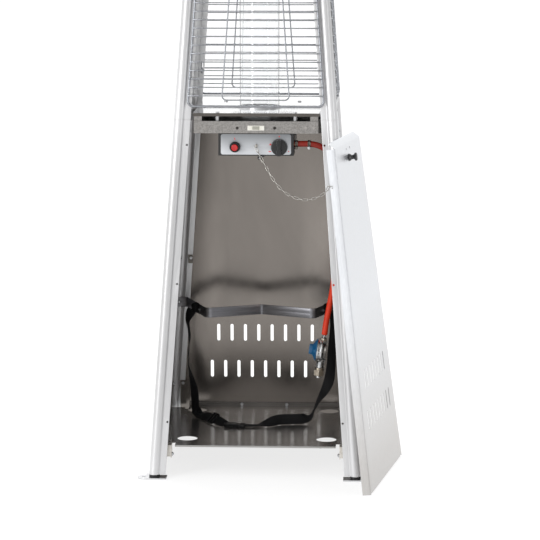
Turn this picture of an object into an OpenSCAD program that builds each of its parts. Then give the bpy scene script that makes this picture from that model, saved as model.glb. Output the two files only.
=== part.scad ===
// Tall pyramid patio heater: four tapering tube legs, an open lower cabinet
// for a gas cylinder, a glass flame tube behind wire guards and a capped top.
// The cabinet door stands lifted off and leans against the right side.
// Millimetres. Origin on the floor in the middle of the four feet, front to -Y.

/* [Frame] */
// Width across the legs at the floor
base_w = 500; // [480:1:520]
// Width across the legs at their tops
top_w = 206; // [190:1:230]
// Height of the leg tops
leg_top = 2085; // [2000:5:2120]
// Height where the lower and upper leg tubes meet
leg_split = 842.4; // [820:0.2:860]
// Radius of a leg tube
tube_r = 12.7; // [11:0.1:15]
// Wall of a leg tube
tube_wall = 1.8; // [1.2:0.1:2.4]
// Reach of a leg flange, measured from the corner
flange_reach = 39; // [34:1:44]
// Thickness of a leg flange
flange_t = 2.2; // [1.6:0.1:3]
// How far the flange lies behind the outer face of the tube
flange_in = 7; // [5:0.5:9]
// Radius of the holes in the flanges
flange_hole_r = 2.6; // [1.5:0.1:3]
// Distance of those holes from the corner
hole_in = 34.5; // [28:0.5:35]
// Thickness of the anchor plates
anchor_t = 3.2; // [2:0.1:5]
// Radius of the anchor holes
anchor_hole_r = 4.5; // [3:0.5:6]

/* [Cabinet] */
// Thickness of the cabinet panels and the door sheet
sheet_t = 0.9; // [0.6:0.1:1.5]
// Lower edge of the panels
panel_z0 = 12; // [8:1:20]
// Upper edge of the panels
panel_z1 = 838; // [820:1:842]
// Distance of the panel edge from the corner
panel_in = 26.5; // [26:0.1:30]
// Width of a vent slot
slot_w = 7.8; // [6:0.1:12]
// Spacing of the vent slots
slot_pitch = 33.8; // [25:0.1:40]
// Top face of the base plate
plate_z = 75; // [60:1:100]
// Radius of the round holes in the base plate
plate_hole_r = 24.2; // [15:0.1:30]
// Height of the centre of the retaining band
band_z = 348; // [320:1:380]
// Height of the retaining band
band_h = 24.5; // [18:0.5:30]

/* [Door] */
// Width of the door at its lower edge
door_w0 = 413; // [400:1:420]
// Width of the door at its upper edge
door_w1 = 301; // [290:1:310]
// Height of the door face
door_h = 792; // [780:1:800]
// Depth of the door flanges
door_flange = 20; // [10:1:25]
// Lean of the door toward the heater, degrees
door_lean = 7.22; // [6:0.01:9]
// Heading of the door away from the side of the heater, degrees
door_turn = 10.22; // [8:0.01:12]

/* [Burner deck] */
// Underside of the support tray sheet
tray_z = 836.5; // [820:0.5:845]
// Top face of the burner deck plate
deck_z = 856.5; // [850:0.5:865]
// Half width of the deck plate
deck_x = 148; // [140:1:160]
// Radius of the opening under the glass
deck_hole_r = 44; // [35:0.5:45]

/* [Controls] */
// Left-right place of the ignition button
button_x = -49; // [-60:0.5:-40]
// Left-right place of the control knob
knob_x = 54.6; // [45:0.1:65]
// Height of both controls
ctrl_z = 778; // [770:1:785]
// Radius of the knob skirt
knob_r = 19.5; // [16:0.5:24]

/* [Glass and guards] */
// Outer radius of the glass tube
glass_r = 48; // [40:0.5:60]
// Wall of the glass tube
glass_wall = 2.5; // [2:0.1:4]
// Upper end of the glass tube
glass_top = 2092; // [2050:1:2100]
// Lower edge of the guards
guard_z0 = 873.6; // [865:0.2:900]
// Upper edge of the guards
guard_z1 = 2068; // [2000:1:2072]
// Radius of the guard frame wire
guard_r = 3; // [2:0.1:4]
// Spacing of the cross wires
wire_pitch = 19.5; // [15:0.5:25]
// Height of the lowest thick cross bar
bar_z = 937; // [920:1:950]

/* [Top] */
// Radius of the flame screen
screen_r = 65; // [55:1:75]
// Height of the lower edge of the roof
roof_z = 2160; // [2140:1:2180]
// Half width of the roof
roof_x = 124; // [110:1:130]
// Height of the roof tip
roof_top = 2270; // [2240:1:2300]

/* [Gas line] */
// Radius of the gas hose
hose_r = 7; // [5:0.5:9]
// Tilt of the hanging regulator, degrees
reg_tilt = 7.5; // [0:0.5:12]
// Radius of the regulator body
reg_r = 28; // [24:1:32]

/* [Hidden] */
w0 = base_w / 2;
sl = (base_w - top_w) / 2 / leg_top;
th = atan(sl);
n3 = sqrt(1 + 2 * sl * sl);
edge_a = -asin(sl / n3);
edge_b = atan(sl);
skew = asin(sin(edge_b) * sin(th));
hole_z = [134.5, 459.5, 784];
foot_bolt_z = 33;
bar_rows = [0, 27, 55];
fl_in = flange_in + flange_t;
hose_path = [[88.8, -150, 783.7], [107, -150, 783.7], [126, -150, 783.4], [147, -150, 779], [165.5, -149, 767.3],
             [178, -147, 749.5], [183, -144, 727], [185, -137, 690], [186.5, -127, 640], [187, -113, 580],
             [186, -95, 520], [183, -79, 470], [178, -67, 425], [170, -61, 382], [163, -60, 345], [160.3, -60, 325.4], [158.99, -60, 315.46]];
chain_path = [[2, -181.5, 773.4], [6, -184, 766], [13, -190, 754], [24, -199, 736], [35, -208, 717], [47, -217, 701], [59, -227, 688],
              [71, -236, 679], [84, -246, 672.5], [97, -256, 669], [110, -266, 667], [122, -276, 667.5], [134, -285.5, 670.5], [145, -294, 675],
              [156, -302.5, 681.5], [166, -311, 689.5], [172.5, -318, 696], [177, -327, 703.5]];
// strap stations: point on the centre line, then the direction across the width
strap_path = [
  [[-154, 86, 348], [0, 0, 1]], [[-157, 93, 350], [0.1, 0, 1]], [[-166, 98, 351], [0.4, 0.1, 1]], [[-177, 101, 338], [0.9, -0.4, 0.5]],
  [[-184, 103, 318], [0.5, -0.9, 0]], [[-182, 105, 299], [0.3, -0.95, 0.1]], [[-180, 106, 279], [0.3, -0.95, 0]],
  [[-182, 107, 244], [0, -1, 0]], [[-183, 108, 210], [0.1, -1, 0]],
  [[-178, 109, 182], [0.4, -0.9, 0]], [[-170, 109, 150], [0.75, -0.66, 0]], [[-167, 109, 120], [0.8, -0.6, 0]], [[-166, 108, 96], [0.8, -0.6, 0]],
  [[-157, 98, 82], [0.8, 0.55, 0.2]], [[-140, 62, 85.2], [0.64, 0.44, 0.62]], [[-116, 24, 87.6], [0.62, 0.45, 0.64]],
  [[-90, -6, 82.5], [0.5, 0.7, 0.42]], [[-74, -13, 80], [0.4, 0.92, 0]], [[-59, -16.5, 80], [0.05, 1, 0]],
  [[-22, -17, 79.6], [-0.1, 1, 0]], [[0, -12, 79.6], [-0.26, 0.96, 0]], [[20, -4, 83.5], [-0.4, 0.7, 0.5]], [[38, 6, 87.5], [-0.3, 0.3, 0.9]],
  [[56, 14, 88.8], [-0.1, 0.15, 1]], [[98, 19, 89.2], [0, 0.1, 1]], [[113, 27, 91], [-0.2, 0.6, 0.75]],
  [[124, 42, 96], [-0.3, 0.85, -0.25]], [[132, 56, 106], [-0.25, 0.9, -0.3]], [[142, 65, 126], [-0.4, 0.9, -0.1]], [[156, 71, 148], [-0.75, 0.6, 0.15]],
  [[167, 79, 173], [-0.95, 0.1, 0.3]], [[172, 86, 208], [-0.9, -0.4, 0.1]], [[174, 93, 255], [-0.75, -0.66, 0]], [[177, 98, 310], [-0.6, -0.8, 0]],
  [[176, 103, 335], [-0.6, -0.5, 0.5]], [[168, 104, 350], [-0.3, -0.1, 0.9]], [[160, 99, 352], [-0.05, 0, 1]], [[157, 95, 349], [0, 0, 1]], [[155, 90, 348], [0, 0, 1]]];

// half width of the frame at a height
function hw(z) = w0 - sl * z;
// length up a leaning face for a height, at a depth behind the face
function uz(z, y = 0) = (z + y * sin(th)) / cos(th);
// faces and signs that a leg belongs to
function face_a(sx, sy) = sy < 0 ? 0 : 2;
function sign_a(sx, sy) = sy < 0 ? sx : -sx;
function face_b(sx, sy) = sx > 0 ? 1 : 3;
function sign_b(sx, sy) = sx > 0 ? sy : -sy;
function unit(v) = v / norm(v);
function at_rear(k, s) = k == 2 || (k == 1 && s > 0) || (k == 3 && s < 0);
function nut_y(k, z, s) = z > 700 || (k == 2 && z > 400) ? fl_in + 1.5 : (z < 200 && at_rear(k, s) ? fl_in + 2 : fl_in);

module face(k) { rotate([0, 0, 90 * k]) translate([0, -w0, 0]) rotate([-th, 0, 0]) children(); }
module on_face(k, h, z, y) { face(k) translate([h, y, uz(z, y)]) children(); }
module inward() { rotate([-90, 0, 0]) children(); }
module quad(sx, sy) {
  if (sx < 0 && sy < 0) children();
  if (sx > 0 && sy < 0) mirror([1, 0, 0]) children();
  if (sx < 0 && sy > 0) mirror([0, 1, 0]) children();
  if (sx > 0 && sy > 0) mirror([1, 0, 0]) mirror([0, 1, 0]) children();
}
module at_edge() { translate([-w0, -w0, 0]) rotate([edge_a, edge_b, 0]) children(); }
module slab(z0, z1) { translate([-450, -450, z0]) cube([900, 900, z1 - z0]); }
module box(a, b) { translate(a) cube(b - a); }
module rod(a, b, r, n = 24) {
  d = b - a;
  translate(a) rotate([0, acos(d[2] / norm(d)), atan2(d[1], d[0])]) cylinder(r = r, h = norm(d), $fn = n);
}
module ring(r1, r0, h, n = 48) { difference() { cylinder(r = r1, h = h, $fn = n); translate([0, 0, -1]) cylinder(r = r0, h = h + 2, $fn = n); } }
// flat sheet in a leaning face, drawn in width and slope length
module sheet_in_face(k, y, t) { face(k) translate([0, y + t, 0]) rotate([90, 0, 0]) linear_extrude(t) children(); }

// ---------- swept shapes ----------
function cr(p0, p1, p2, p3, t) = 0.5 * ((2 * p1) + (p2 - p0) * t + (2 * p0 - 5 * p1 + 4 * p2 - p3) * t * t + (3 * p1 - p0 - 3 * p2 + p3) * t * t * t);
function smooth(p, k) = let (n = len(p)) [for (i = [0 : n - 2]) for (j = [0 : k - 1])
  cr(p[max(i - 1, 0)], p[i], p[i + 1], p[min(i + 2, n - 1)], j / k), p[n - 1]];
function tangents(c) = let (m = len(c)) [for (i = [0 : m - 1]) unit(c[min(i + 1, m - 1)] - c[max(i - 1, 0)])];
module sweep_tube(path, r, n, k, t0, t1) {
  c = smooth(path, k);
  m = len(c);
  tt = tangents(c);
  t = [for (i = [0 : m - 1]) i == 0 ? t0 : (i == m - 1 ? t1 : tt[i])];
  pts = [for (i = [0 : m - 1]) let (a = unit(cross(t[i], [0, 1, 0.001])), b = cross(t[i], a))
    for (j = [0 : n - 1]) c[i] + r * cos(360 * j / n) * a + r * sin(360 * j / n) * b];
  fcs = [for (i = [0 : m - 2]) for (j = [0 : n - 1]) let (q = (j + 1) % n)
    each [[i * n + j, (i + 1) * n + j, (i + 1) * n + q], [i * n + j, (i + 1) * n + q, i * n + q]]];
  polyhedron(points = pts, faces = concat(fcs, [[for (j = [0 : n - 1]) j]], [[for (j = [0 : n - 1]) (m - 1) * n + n - 1 - j]]), convexity = 8);
}
module sweep_strap(path, w, th_s, k) {
  c = smooth([for (p = path) p[0]], k);
  v = smooth([for (p = path) unit(p[1])], k);
  m = len(c);
  t = tangents(c);
  pts = [for (i = [0 : m - 1]) let (a = unit(v[i] - (v[i] * t[i]) * t[i]), b = cross(t[i], a))
    each [c[i] - a * w / 2 - b * th_s / 2, c[i] + a * w / 2 - b * th_s / 2, c[i] + a * w / 2 + b * th_s / 2, c[i] - a * w / 2 + b * th_s / 2]];
  fcs = [for (i = [0 : m - 2]) for (j = [0 : 3]) let (q = (j + 1) % 4)
    each j < 2 ? [[i * 4 + j, (i + 1) * 4 + j, (i + 1) * 4 + q], [i * 4 + j, (i + 1) * 4 + q, i * 4 + q]]
      : [[i * 4 + j, (i + 1) * 4 + j, i * 4 + q], [(i + 1) * 4 + j, (i + 1) * 4 + q, i * 4 + q]]];
  polyhedron(points = pts, faces = concat(fcs, [[0, 1, 2, 3]], [[(m - 1) * 4 + 3, (m - 1) * 4 + 2, (m - 1) * 4 + 1, (m - 1) * 4]]), convexity = 8);
}

// ---------- legs ----------
module leg_profile() {
  difference() {
    union() {
      translate([tube_r, tube_r]) circle(r = tube_r, $fn = 48);
      rotate([0, 0, -skew]) translate([tube_r * 1.835, flange_in]) square([flange_reach - tube_r * 1.835, flange_t]);
      translate([flange_in, tube_r * 1.835]) square([flange_t, flange_reach - tube_r * 1.835]);
    }
    translate([tube_r, tube_r]) circle(r = tube_r - tube_wall, $fn = 48);
  }
}
module leg_piece(sx, sy, z0, z1) {
  intersection() {
    quad(sx, sy) at_edge() translate([0, 0, (z0 - 30) * n3]) linear_extrude((z1 - z0 + 60) * n3) leg_profile();
    slab(z0, z1);
  }
}
module leg_lower(sx, sy) {
  color([0.78, 0.79, 0.8]) difference() {
    leg_piece(sx, sy, 9.5, leg_split);
    for (z = hole_z) {
      on_face(face_a(sx, sy), sign_a(sx, sy) * (hw(z) - hole_in), z, 2) inward() cylinder(r = flange_hole_r, h = 12, $fn = 24);
      on_face(face_b(sx, sy), sign_b(sx, sy) * (hw(z) - hole_in), z, 2) inward() cylinder(r = flange_hole_r, h = 12, $fn = 24);
    }
    on_face(face_b(sx, sy), sign_b(sx, sy) * (hw(foot_bolt_z) - hole_in), foot_bolt_z, 2) inward() cylinder(r = flange_hole_r, h = 12, $fn = 24);
    if (sy > 0) translate([sx * (hw(band_z) - tube_r), hw(band_z) - 2 * tube_r - 6, band_z]) inward() cylinder(r = flange_hole_r, h = 12, $fn = 24);
    // slanted lower ends of the flanges
    on_face(face_a(sx, sy), sign_a(sx, sy) * (hw(9.5) - flange_reach), 9.5, 4) rotate([0, sign_a(sx, sy) * 20, 0]) translate([-16, 0, -14]) cube([32, 8, 14]);
    on_face(face_b(sx, sy), sign_b(sx, sy) * (hw(9.5) - flange_reach), 9.5, 4) rotate([0, sign_b(sx, sy) * 20, 0]) translate([-16, 0, -14]) cube([32, 8, 14]);
  }
}
module leg_upper(sx, sy) {
  color([0.78, 0.79, 0.8]) difference() {
    leg_piece(sx, sy, leg_split + 0.1, leg_top);
    for (i = bar_rows) let (z = bar_z + wire_pitch * i) {
      on_face(face_a(sx, sy), sign_a(sx, sy) * (hw(z) - 33), z, 0) translate([-2.3, 4, -2]) cube([4.6, 8, 20]);
      on_face(face_b(sx, sy), sign_b(sx, sy) * (hw(z) - 33), z, 0) translate([-2.3, 4, -2]) cube([4.6, 8, 20]);
    }
  }
}
module leg_lower_front_left() leg_lower(-1, -1);
module leg_lower_front_right() leg_lower(1, -1);
module leg_lower_rear_left() leg_lower(-1, 1);
module leg_lower_rear_right() leg_lower(1, 1);
module leg_upper_front_left() leg_upper(-1, -1);
module leg_upper_front_right() leg_upper(1, -1);
module leg_upper_rear_left() leg_upper(-1, 1);
module leg_upper_rear_right() leg_upper(1, 1);
module leg_joiners() {
  color([0.6, 0.61, 0.63]) for (sx = [-1, 1]) for (sy = [-1, 1]) quad(sx, sy)
    at_edge() translate([tube_r, tube_r, (leg_split - 60) * n3]) ring(tube_r - tube_wall - 0.05, tube_r - tube_wall - 1.6, 120);
}
module leg_plugs() {
  color([0.06, 0.06, 0.06]) for (sx = [-1, 1]) for (sy = [-1, 1]) quad(sx, sy) {
    intersection() { at_edge() translate([tube_r, tube_r, -5]) cylinder(r = tube_r - 0.2, h = 20, $fn = 48); slab(anchor_t, 9.5); }
    intersection() { at_edge() translate([tube_r, tube_r, -5]) cylinder(r = tube_r - tube_wall - 0.05, h = 32, $fn = 48); slab(9, 24); }
  }
}
module anchor_plates() {
  color([0.62, 0.64, 0.66]) for (sx = [-1, 1]) for (sy = [-1, 1]) quad(sx, sy) difference() {
    union() {
      translate([-258, -238, 0]) cylinder(r = 18, h = anchor_t, $fn = 48);
      box([-258, -256, 0], [-208, -220, anchor_t]);
      box([-258, -230, 0], [-232, -206, anchor_t]);
      intersection() { on_face(3, hw(20) - 27, 0, fl_in) translate([-13, 0, -10]) cube([13, 2.2, 60]); slab(0, 44); }
    }
    translate([-262, -237, -1]) cylinder(r = anchor_hole_r, h = anchor_t + 2, $fn = 32);
    on_face(3, hw(foot_bolt_z) - hole_in, foot_bolt_z, 2) inward() cylinder(r = flange_hole_r, h = 14, $fn = 24);
  }
}
module bolt(y_head, head_r, head_t, shank_r, y_end, y_nut, nut_t, hexhead) {
  translate([0, y_head, 0]) inward() cylinder(r = head_r, h = head_t, $fn = hexhead ? 6 : 32);
  translate([0, y_head + 0.5, 0]) inward() cylinder(r = shank_r, h = y_end - y_head - 0.5, $fn = 24);
  translate([0, y_nut, 0]) inward() cylinder(r = head_r, h = nut_t, $fn = 6);
}
module foot_bolts() {
  color([0.72, 0.5, 0.36]) for (k = [1, 3]) for (s = [-1, 1])
    on_face(k, s * (hw(foot_bolt_z) - hole_in), foot_bolt_z, 0)
      bolt(flange_in - sheet_t - 2.6, 4.2, 2.6, flange_hole_r - 0.1, fl_in + 7, fl_in + 2.2, 3.2, true);
}
module panel_screws() {
  color([0.55, 0.56, 0.58]) for (k = [1, 2, 3]) for (s = [-1, 1]) for (z = hole_z)
    on_face(k, s * (hw(z) - hole_in), z, 0)
      bolt(flange_in - sheet_t - 2.2, 4, 2.2, flange_hole_r - 0.1, nut_y(k, z, s) + 4.5, nut_y(k, z, s), 2.8, false);
}

// ---------- cabinet ----------
module slot2d(x, u0, u1) {
  translate([x - slot_w / 2, u0 + slot_w / 2]) square([slot_w, u1 - u0 - slot_w]);
  translate([x, u0 + slot_w / 2]) circle(r = slot_w / 2, $fn = 24);
  translate([x, u1 - slot_w / 2]) circle(r = slot_w / 2, $fn = 24);
}
module vents(x_off) {
  for (i = [-4 : 4]) slot2d(i * slot_pitch + x_off, uz(150.5), uz(194.5));
  for (i = [-4 : 3]) slot2d((i + 0.5) * slot_pitch + x_off, uz(245), uz(288.5));
}
module panel(k) {
  sheet_in_face(k, flange_in - sheet_t, sheet_t) difference() {
    polygon([[-(hw(panel_z0) - panel_in), uz(panel_z0)], [hw(panel_z0) - panel_in, uz(panel_z0)],
             [hw(panel_z1) - panel_in, uz(panel_z1)], [-(hw(panel_z1) - panel_in), uz(panel_z1)]]);
    vents(k == 2 ? -3.3 : 0);
    for (s = [-1, 1]) for (z = hole_z) translate([s * (hw(z) - hole_in), uz(z)]) circle(r = flange_hole_r, $fn = 24);
    for (s = [-1, 1]) {
      if (k != 2) translate([s * (hw(foot_bolt_z) - hole_in), uz(foot_bolt_z)]) circle(r = flange_hole_r, $fn = 24);
      if (k == 2) translate([s * 57, uz(plate_z + 4.8)]) circle(r = 2.6, $fn = 24);
    }
  }
}
module side_panel_left() color([0.5, 0.49, 0.47]) panel(3);
module side_panel_right() color([0.5, 0.49, 0.47]) panel(1);
module back_panel() color([0.5, 0.49, 0.47]) panel(2);
module frame_brackets() {
  color([0.2, 0.2, 0.21]) {
    for (sx = [-1, 1]) for (sy = [-1, 1]) {
      k = face_b(sx, sy);
      s = sign_b(sx, sy);
      difference() {
        union() {
          intersection() {
            on_face(k, s * (hw(80) - 52.5), 50, fl_in) translate([-21.5, 0, 0]) cube([43, 2, 110]);
            slab(56, sy > 0 ? 141 : plate_z - 1.2);
          }
          box([min(sx * 200, sx * 234), min(sy * 172, sy * 215), plate_z - 3.2], [max(sx * 200, sx * 234), max(sy * 172, sy * 215), plate_z - 1.2]);
        }
        if (sy > 0) box([min(sx * 190, sx * 246), 165, plate_z - 1.2], [max(sx * 190, sx * 246), 191, plate_z + 70]);
        on_face(k, s * (hw(134.5) - hole_in), 134.5, 2) inward() cylinder(r = flange_hole_r, h = 14, $fn = 24);
      }
    }
    // second leaf behind each rear leg, and a folded tongue on each front bracket
    for (s = [-1, 1]) difference() {
      intersection() {
        on_face(2, s * (hw(80) - 42), 50, fl_in) translate([-11, 0, 0]) cube([22, 2, 110]);
        slab(56, 141);
      }
      on_face(2, s * (hw(134.5) - hole_in), 134.5, 2) inward() cylinder(r = flange_hole_r, h = 14, $fn = 24);
    }
    for (s = [-1, 1]) difference() {
      union() {
        box([min(s * 198.5, s * 214), -215, 46.5], [max(s * 198.5, s * 214), -213.2, plate_z - 1.2]);
        box([min(s * 198.5, s * 200.3), -215, 43.5], [max(s * 198.5, s * 200.3), -190, plate_z - 1.2]);
      }
      translate([s * 203, -203, 50.5]) rotate([0, -s * 90, 0]) cylinder(r = 2.6, h = 10, $fn = 24);
    }
    for (s = [-1, 1]) difference() {
      on_face(2, s * (hw(456) - 39), 456, fl_in) translate([s > 0 ? -0.5 : -11.5, 0, -11]) cube([12, 1.5, 22]);
      on_face(2, s * (hw(459.5) - hole_in), 459.5, 2) inward() cylinder(r = flange_hole_r, h = 14, $fn = 24);
    }
  }
}
module base_plate() {
  color([0.16, 0.16, 0.17]) difference() {
    union() {
      box([-190, -217, plate_z - 1.2], [190, 235.8, plate_z]);
      box([-232, -190, plate_z - 1.2], [232, 190, plate_z]);
      box([-190, -217, plate_z - 4.2], [190, -215.8, plate_z]);
      for (s = [-1, 1]) box([min(s * 230.8, s * 232), -169, plate_z - 14], [max(s * 230.8, s * 232), 169, plate_z]);
      box([-190, 234.6, plate_z - 1], [190, 235.8, plate_z + 9]);
    }
    for (sx = [-1, 1]) for (y = [-142, 178]) translate([sx * 166, y, plate_z - 3]) cylinder(r = plate_hole_r, h = 5, $fn = 64);
    for (s = [-1, 1]) translate([s * 57, 230, plate_z + 4.8]) inward() cylinder(r = 3.2, h = 10, $fn = 24);
  }
}
module cabinet_bolts() {
  color([0.55, 0.56, 0.58]) {
    for (s = [-1, 1]) on_face(2, s * 57, plate_z + 4.8, 0) bolt(flange_in - sheet_t - 2.8, 4.2, 2.8, 2.4, fl_in + 6, fl_in + 0.9, 3, true);
    for (s = [-1, 1]) {
      translate([s * 198.4, -203, 50.5]) rotate([0, -s * 90, 0]) cylinder(r = 4.6, h = 2.8, $fn = 6);
      translate([s * 203, -203, 50.5]) rotate([0, -s * 90, 0]) cylinder(r = 2.5, h = 9.4, $fn = 24);
      translate([s * 153, -205, plate_z - 7.2]) cylinder(r = 2.4, h = 6, $fn = 24);
    }
    for (sx = [-1, 1]) for (sy = [-1, 1]) translate([sx * (top_w / 2 - tube_r), sy * (top_w / 2 - tube_r), leg_top]) {
      translate([0, 0, 1.6]) cylinder(r = 6, h = 3.2, $fn = 6);
      translate([0, 0, -18]) cylinder(r = 2.9, h = 20, $fn = 24);
    }
  }
}

// ---------- door, leaning on the right side ----------
function door_hw(h) = door_w0 / 2 + (door_w1 - door_w0) / 2 * h / door_h;
door_edge = atan((door_w0 - door_w1) / 2 / door_h);
module door_frame() { translate([274.5, -389, 2.6]) rotate([0, 0, 90 - door_turn]) rotate([-door_lean, 0, 0]) translate([206.5, 0, 0]) children(); }
module door_panel() {
  color([0.72, 0.73, 0.75]) door_frame() difference() {
    union() {
      difference() {
        translate([0, door_flange, 0]) rotate([90, 0, 0]) linear_extrude(door_flange)
          polygon([[-door_w0 / 2, 0], [door_w0 / 2, 0], [door_w1 / 2, door_h], [-door_w1 / 2, door_h]]);
        translate([0, door_flange + 5, 0]) rotate([90, 0, 0]) linear_extrude(door_flange + 5 - sheet_t)
          polygon([[-door_w0 / 2 + sheet_t, sheet_t], [door_w0 / 2 - sheet_t, sheet_t], [door_w1 / 2 - sheet_t - 0.35, door_h + 5], [-door_w1 / 2 + sheet_t + 0.35, door_h + 5]]);
        box([-door_w0 / 2 + 4, 12, -2], [door_w0 / 2 - 4, door_flange + 5, 3]);
      }
      translate([-door_w1 / 2 + 1.5, 0.2, door_h - 0.4]) rotate([-45, 0, 0]) cube([door_w1 - 3, sheet_t, 20]);
    }
    translate([0, 1, 0]) rotate([90, 0, 0]) linear_extrude(2) {
      for (i = [-4 : 4]) slot2d(i * slot_pitch, 138, 184);
      for (i = [-4 : 3]) slot2d((i + 0.5) * slot_pitch, 231, 276.5);
    }
    translate([0, -1, 758]) inward() cylinder(r = 2.2, h = 4, $fn = 24);
    for (s = [-1, 1]) translate([s * 20, -1, 780]) inward() cylinder(r = 1.7, h = 4, $fn = 24);
  }
}
module door_knob() {
  color([0.05, 0.05, 0.05]) door_frame() translate([0, 0, 758]) rotate([90, 0, 0]) rotate_extrude($fn = 48)
    difference() {
      polygon([[0, 0], [8.5, 0], [9, 0.6], [8.6, 2.4], [6, 5], [5.2, 8], [5.6, 11], [8.8, 13.6], [9.8, 15.2], [9.8, 17], [8.8, 18.8], [6, 19.8], [0, 20]]);
      translate([-1, -1]) square([3.05, 13]);
    }
}
module door_strike_plate() {
  color([0.6, 0.61, 0.63]) door_frame() difference() {
    box([-30, sheet_t, 771], [30, sheet_t + 1.5, 789]);
    for (s = [-1, 1]) translate([s * 20, 0, 780]) inward() cylinder(r = 1.7, h = 4, $fn = 24);
  }
}
module door_fixings() {
  color([0.6, 0.61, 0.63]) door_frame() {
    translate([0, sheet_t, 758]) inward() cylinder(r = 4.2, h = 2.6, $fn = 32);
    translate([0, -11, 758]) inward() cylinder(r = 2, h = 12.5, $fn = 24);
    for (s = [-1, 1]) translate([s * 20, 0, 780]) {
      translate([0, -1, 0]) inward() cylinder(r = 3, h = 1, $fn = 24);
      translate([0, -0.5, 0]) inward() cylinder(r = 1.6, h = 3.5, $fn = 24);
      translate([0, sheet_t + 1.5, 0]) inward() cylinder(r = 2.8, h = 1, $fn = 24);
    }
  }
}

// ---------- burner deck ----------
module top_plate() {
  color([0.1, 0.1, 0.11]) difference() {
    box([-deck_x, -170, deck_z - 7.5], [deck_x, 175, deck_z]);
    box([-deck_x + 1.5, -168.5, deck_z - 9], [deck_x - 1.5, 173.5, deck_z - 1.5]);
    translate([0, 0, deck_z - 5]) cylinder(r = deck_hole_r, h = 10, $fn = 96);
    for (sx = [-1, 1]) for (sy = [-1, 1]) translate([sx * 90.5, sy * 158, deck_z - 4]) cylinder(r = 2.6, h = 6, $fn = 24);
    translate([30, -24, deck_z - 4]) cylinder(r = 5, h = 6, $fn = 24);
  }
}
module support_tray() {
  color([0.55, 0.57, 0.58]) difference() {
    union() {
      box([-145.5, -171, tray_z], [145.5, 180.6, tray_z + 1.5]);
      box([-180.6, -140, tray_z], [180.6, 140, tray_z + 1.5]);
      box([-145.5, -171, 809.5], [145.5, -169.5, tray_z + 1.5]);
      for (k = [1, 2, 3]) intersection() {
        on_face(k, 0, 770, fl_in) translate([-164, 0, 0]) cube([328, 1.5, 80]);
        slab(776, tray_z + 1.5);
      }
      for (s = [-1, 1]) for (y = [-168.3, 170]) box([min(s * 126.5, s * 145), y, tray_z], [max(s * 126.5, s * 145), y + 1.6, deck_z - 1.5]);
    }
    translate([0, 0, tray_z - 3]) cylinder(r = 42, h = 8, $fn = 96);
    translate([30, -24, tray_z - 3]) cylinder(r = 5, h = 8, $fn = 24);
    for (s = [-1, 1]) {
      translate([s * 43.7, -173, 822]) inward() cylinder(r = 3.5, h = 6, $fn = 24);
      for (x = [97, 116, 134.5]) translate([s * x, -173, 823]) inward() cylinder(r = 1.7, h = 6, $fn = 24);
    }
    for (sx = [-1, 1]) for (sy = [-1, 1]) translate([sx * 90.5, sy * 158, tray_z - 3]) cylinder(r = 2.6, h = 8, $fn = 24);
    for (s = [-1, 1]) for (k = [1, 2, 3]) on_face(k, s * (hw(784) - hole_in), 784, 2) inward() cylinder(r = flange_hole_r, h = 14, $fn = 24);
  }
}
module tray_fasteners() {
  color([0.62, 0.63, 0.65]) {
    for (s = [-1, 1]) for (x = [97, 116, 134.5]) translate([s * x, -171, 823]) {
      translate([0, -1.2, 0]) inward() cylinder(r = 3, h = 1.2, $fn = 24);
      translate([0, -0.5, 0]) inward() cylinder(r = 1.6, h = 3, $fn = 24);
      translate([0, 1.5, 0]) inward() cylinder(r = 2.8, h = 1, $fn = 24);
    }
    for (sx = [-1, 1]) for (sy = [-1, 1]) translate([sx * 90.5, sy * 158, 0]) {
      translate([0, 0, tray_z + 1.5]) cylinder(r = 5, h = deck_z - tray_z - 3, $fn = 6);
      translate([0, 0, tray_z - 4]) cylinder(r = 2.5, h = deck_z - tray_z + 4.5, $fn = 24);
      translate([0, 0, deck_z]) cylinder(r = 4.5, h = 2.4, $fn = 32);
      translate([0, 0, tray_z - 3.4]) cylinder(r = 5, h = 3.4, $fn = 6);
    }
  }
}
module catch_body() {
  color([0.8, 0.79, 0.72]) difference() {
    box([-19.5, -176.5, 817], [19.5, -171, 828]);
    for (z = [819.4, 823.8]) box([-8.2, -178, z], [8.2, -173, z + 2.2]);
  }
}
module catch_strips() {
  color([0.4, 0.41, 0.34]) for (z = [819.6, 824]) box([-8, -177.1, z], [8, -173, z + 1.8]);
}

// ---------- controls ----------
module control_box() {
  color([0.05, 0.05, 0.055]) difference() {
    union() {
      difference() {
        box([-88, -171, 757.5], [88, -95, 808.5]);
        box([-86.5, -169.5, 759], [86.5, -94, 807]);
      }
      for (s = [-1, 1]) box([min(s * 50, s * 74), -112, 806], [max(s * 50, s * 74), -110.5, tray_z]);
      box([86.5, -166, 806.5], [93.5, -134, 808.5]);
      box([91.5, -166, 794], [93.5, -134, 808.5]);
    }
    translate([button_x, -173, ctrl_z]) inward() cylinder(r = 9.7, h = 6, $fn = 48);
    translate([knob_x, -173, ctrl_z]) inward() cylinder(r = 6, h = 6, $fn = 48);
    translate([1, -173, 781]) inward() cylinder(r = 2.1, h = 6, $fn = 24);
    translate([80, -150, 783.7]) rotate([0, 90, 0]) cylinder(r = 6.6, h = 20, $fn = 32);
  }
}
module control_fascia() {
  color([0.72, 0.75, 0.78]) difference() {
    union() {
      box([-77, -173, 760], [77, -171, 808]);
      box([-82, -173, 765], [82, -171, 803]);
      for (sx = [-1, 1]) for (z = [765, 803]) translate([sx * 77, -173, z]) inward() cylinder(r = 5, h = 2, $fn = 32);
    }
    translate([button_x, -175, ctrl_z]) inward() cylinder(r = 9.7, h = 6, $fn = 48);
    translate([knob_x, -175, ctrl_z]) inward() cylinder(r = 6, h = 6, $fn = 48);
    translate([1, -175, 781]) inward() cylinder(r = 2.1, h = 6, $fn = 24);
  }
}
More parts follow.
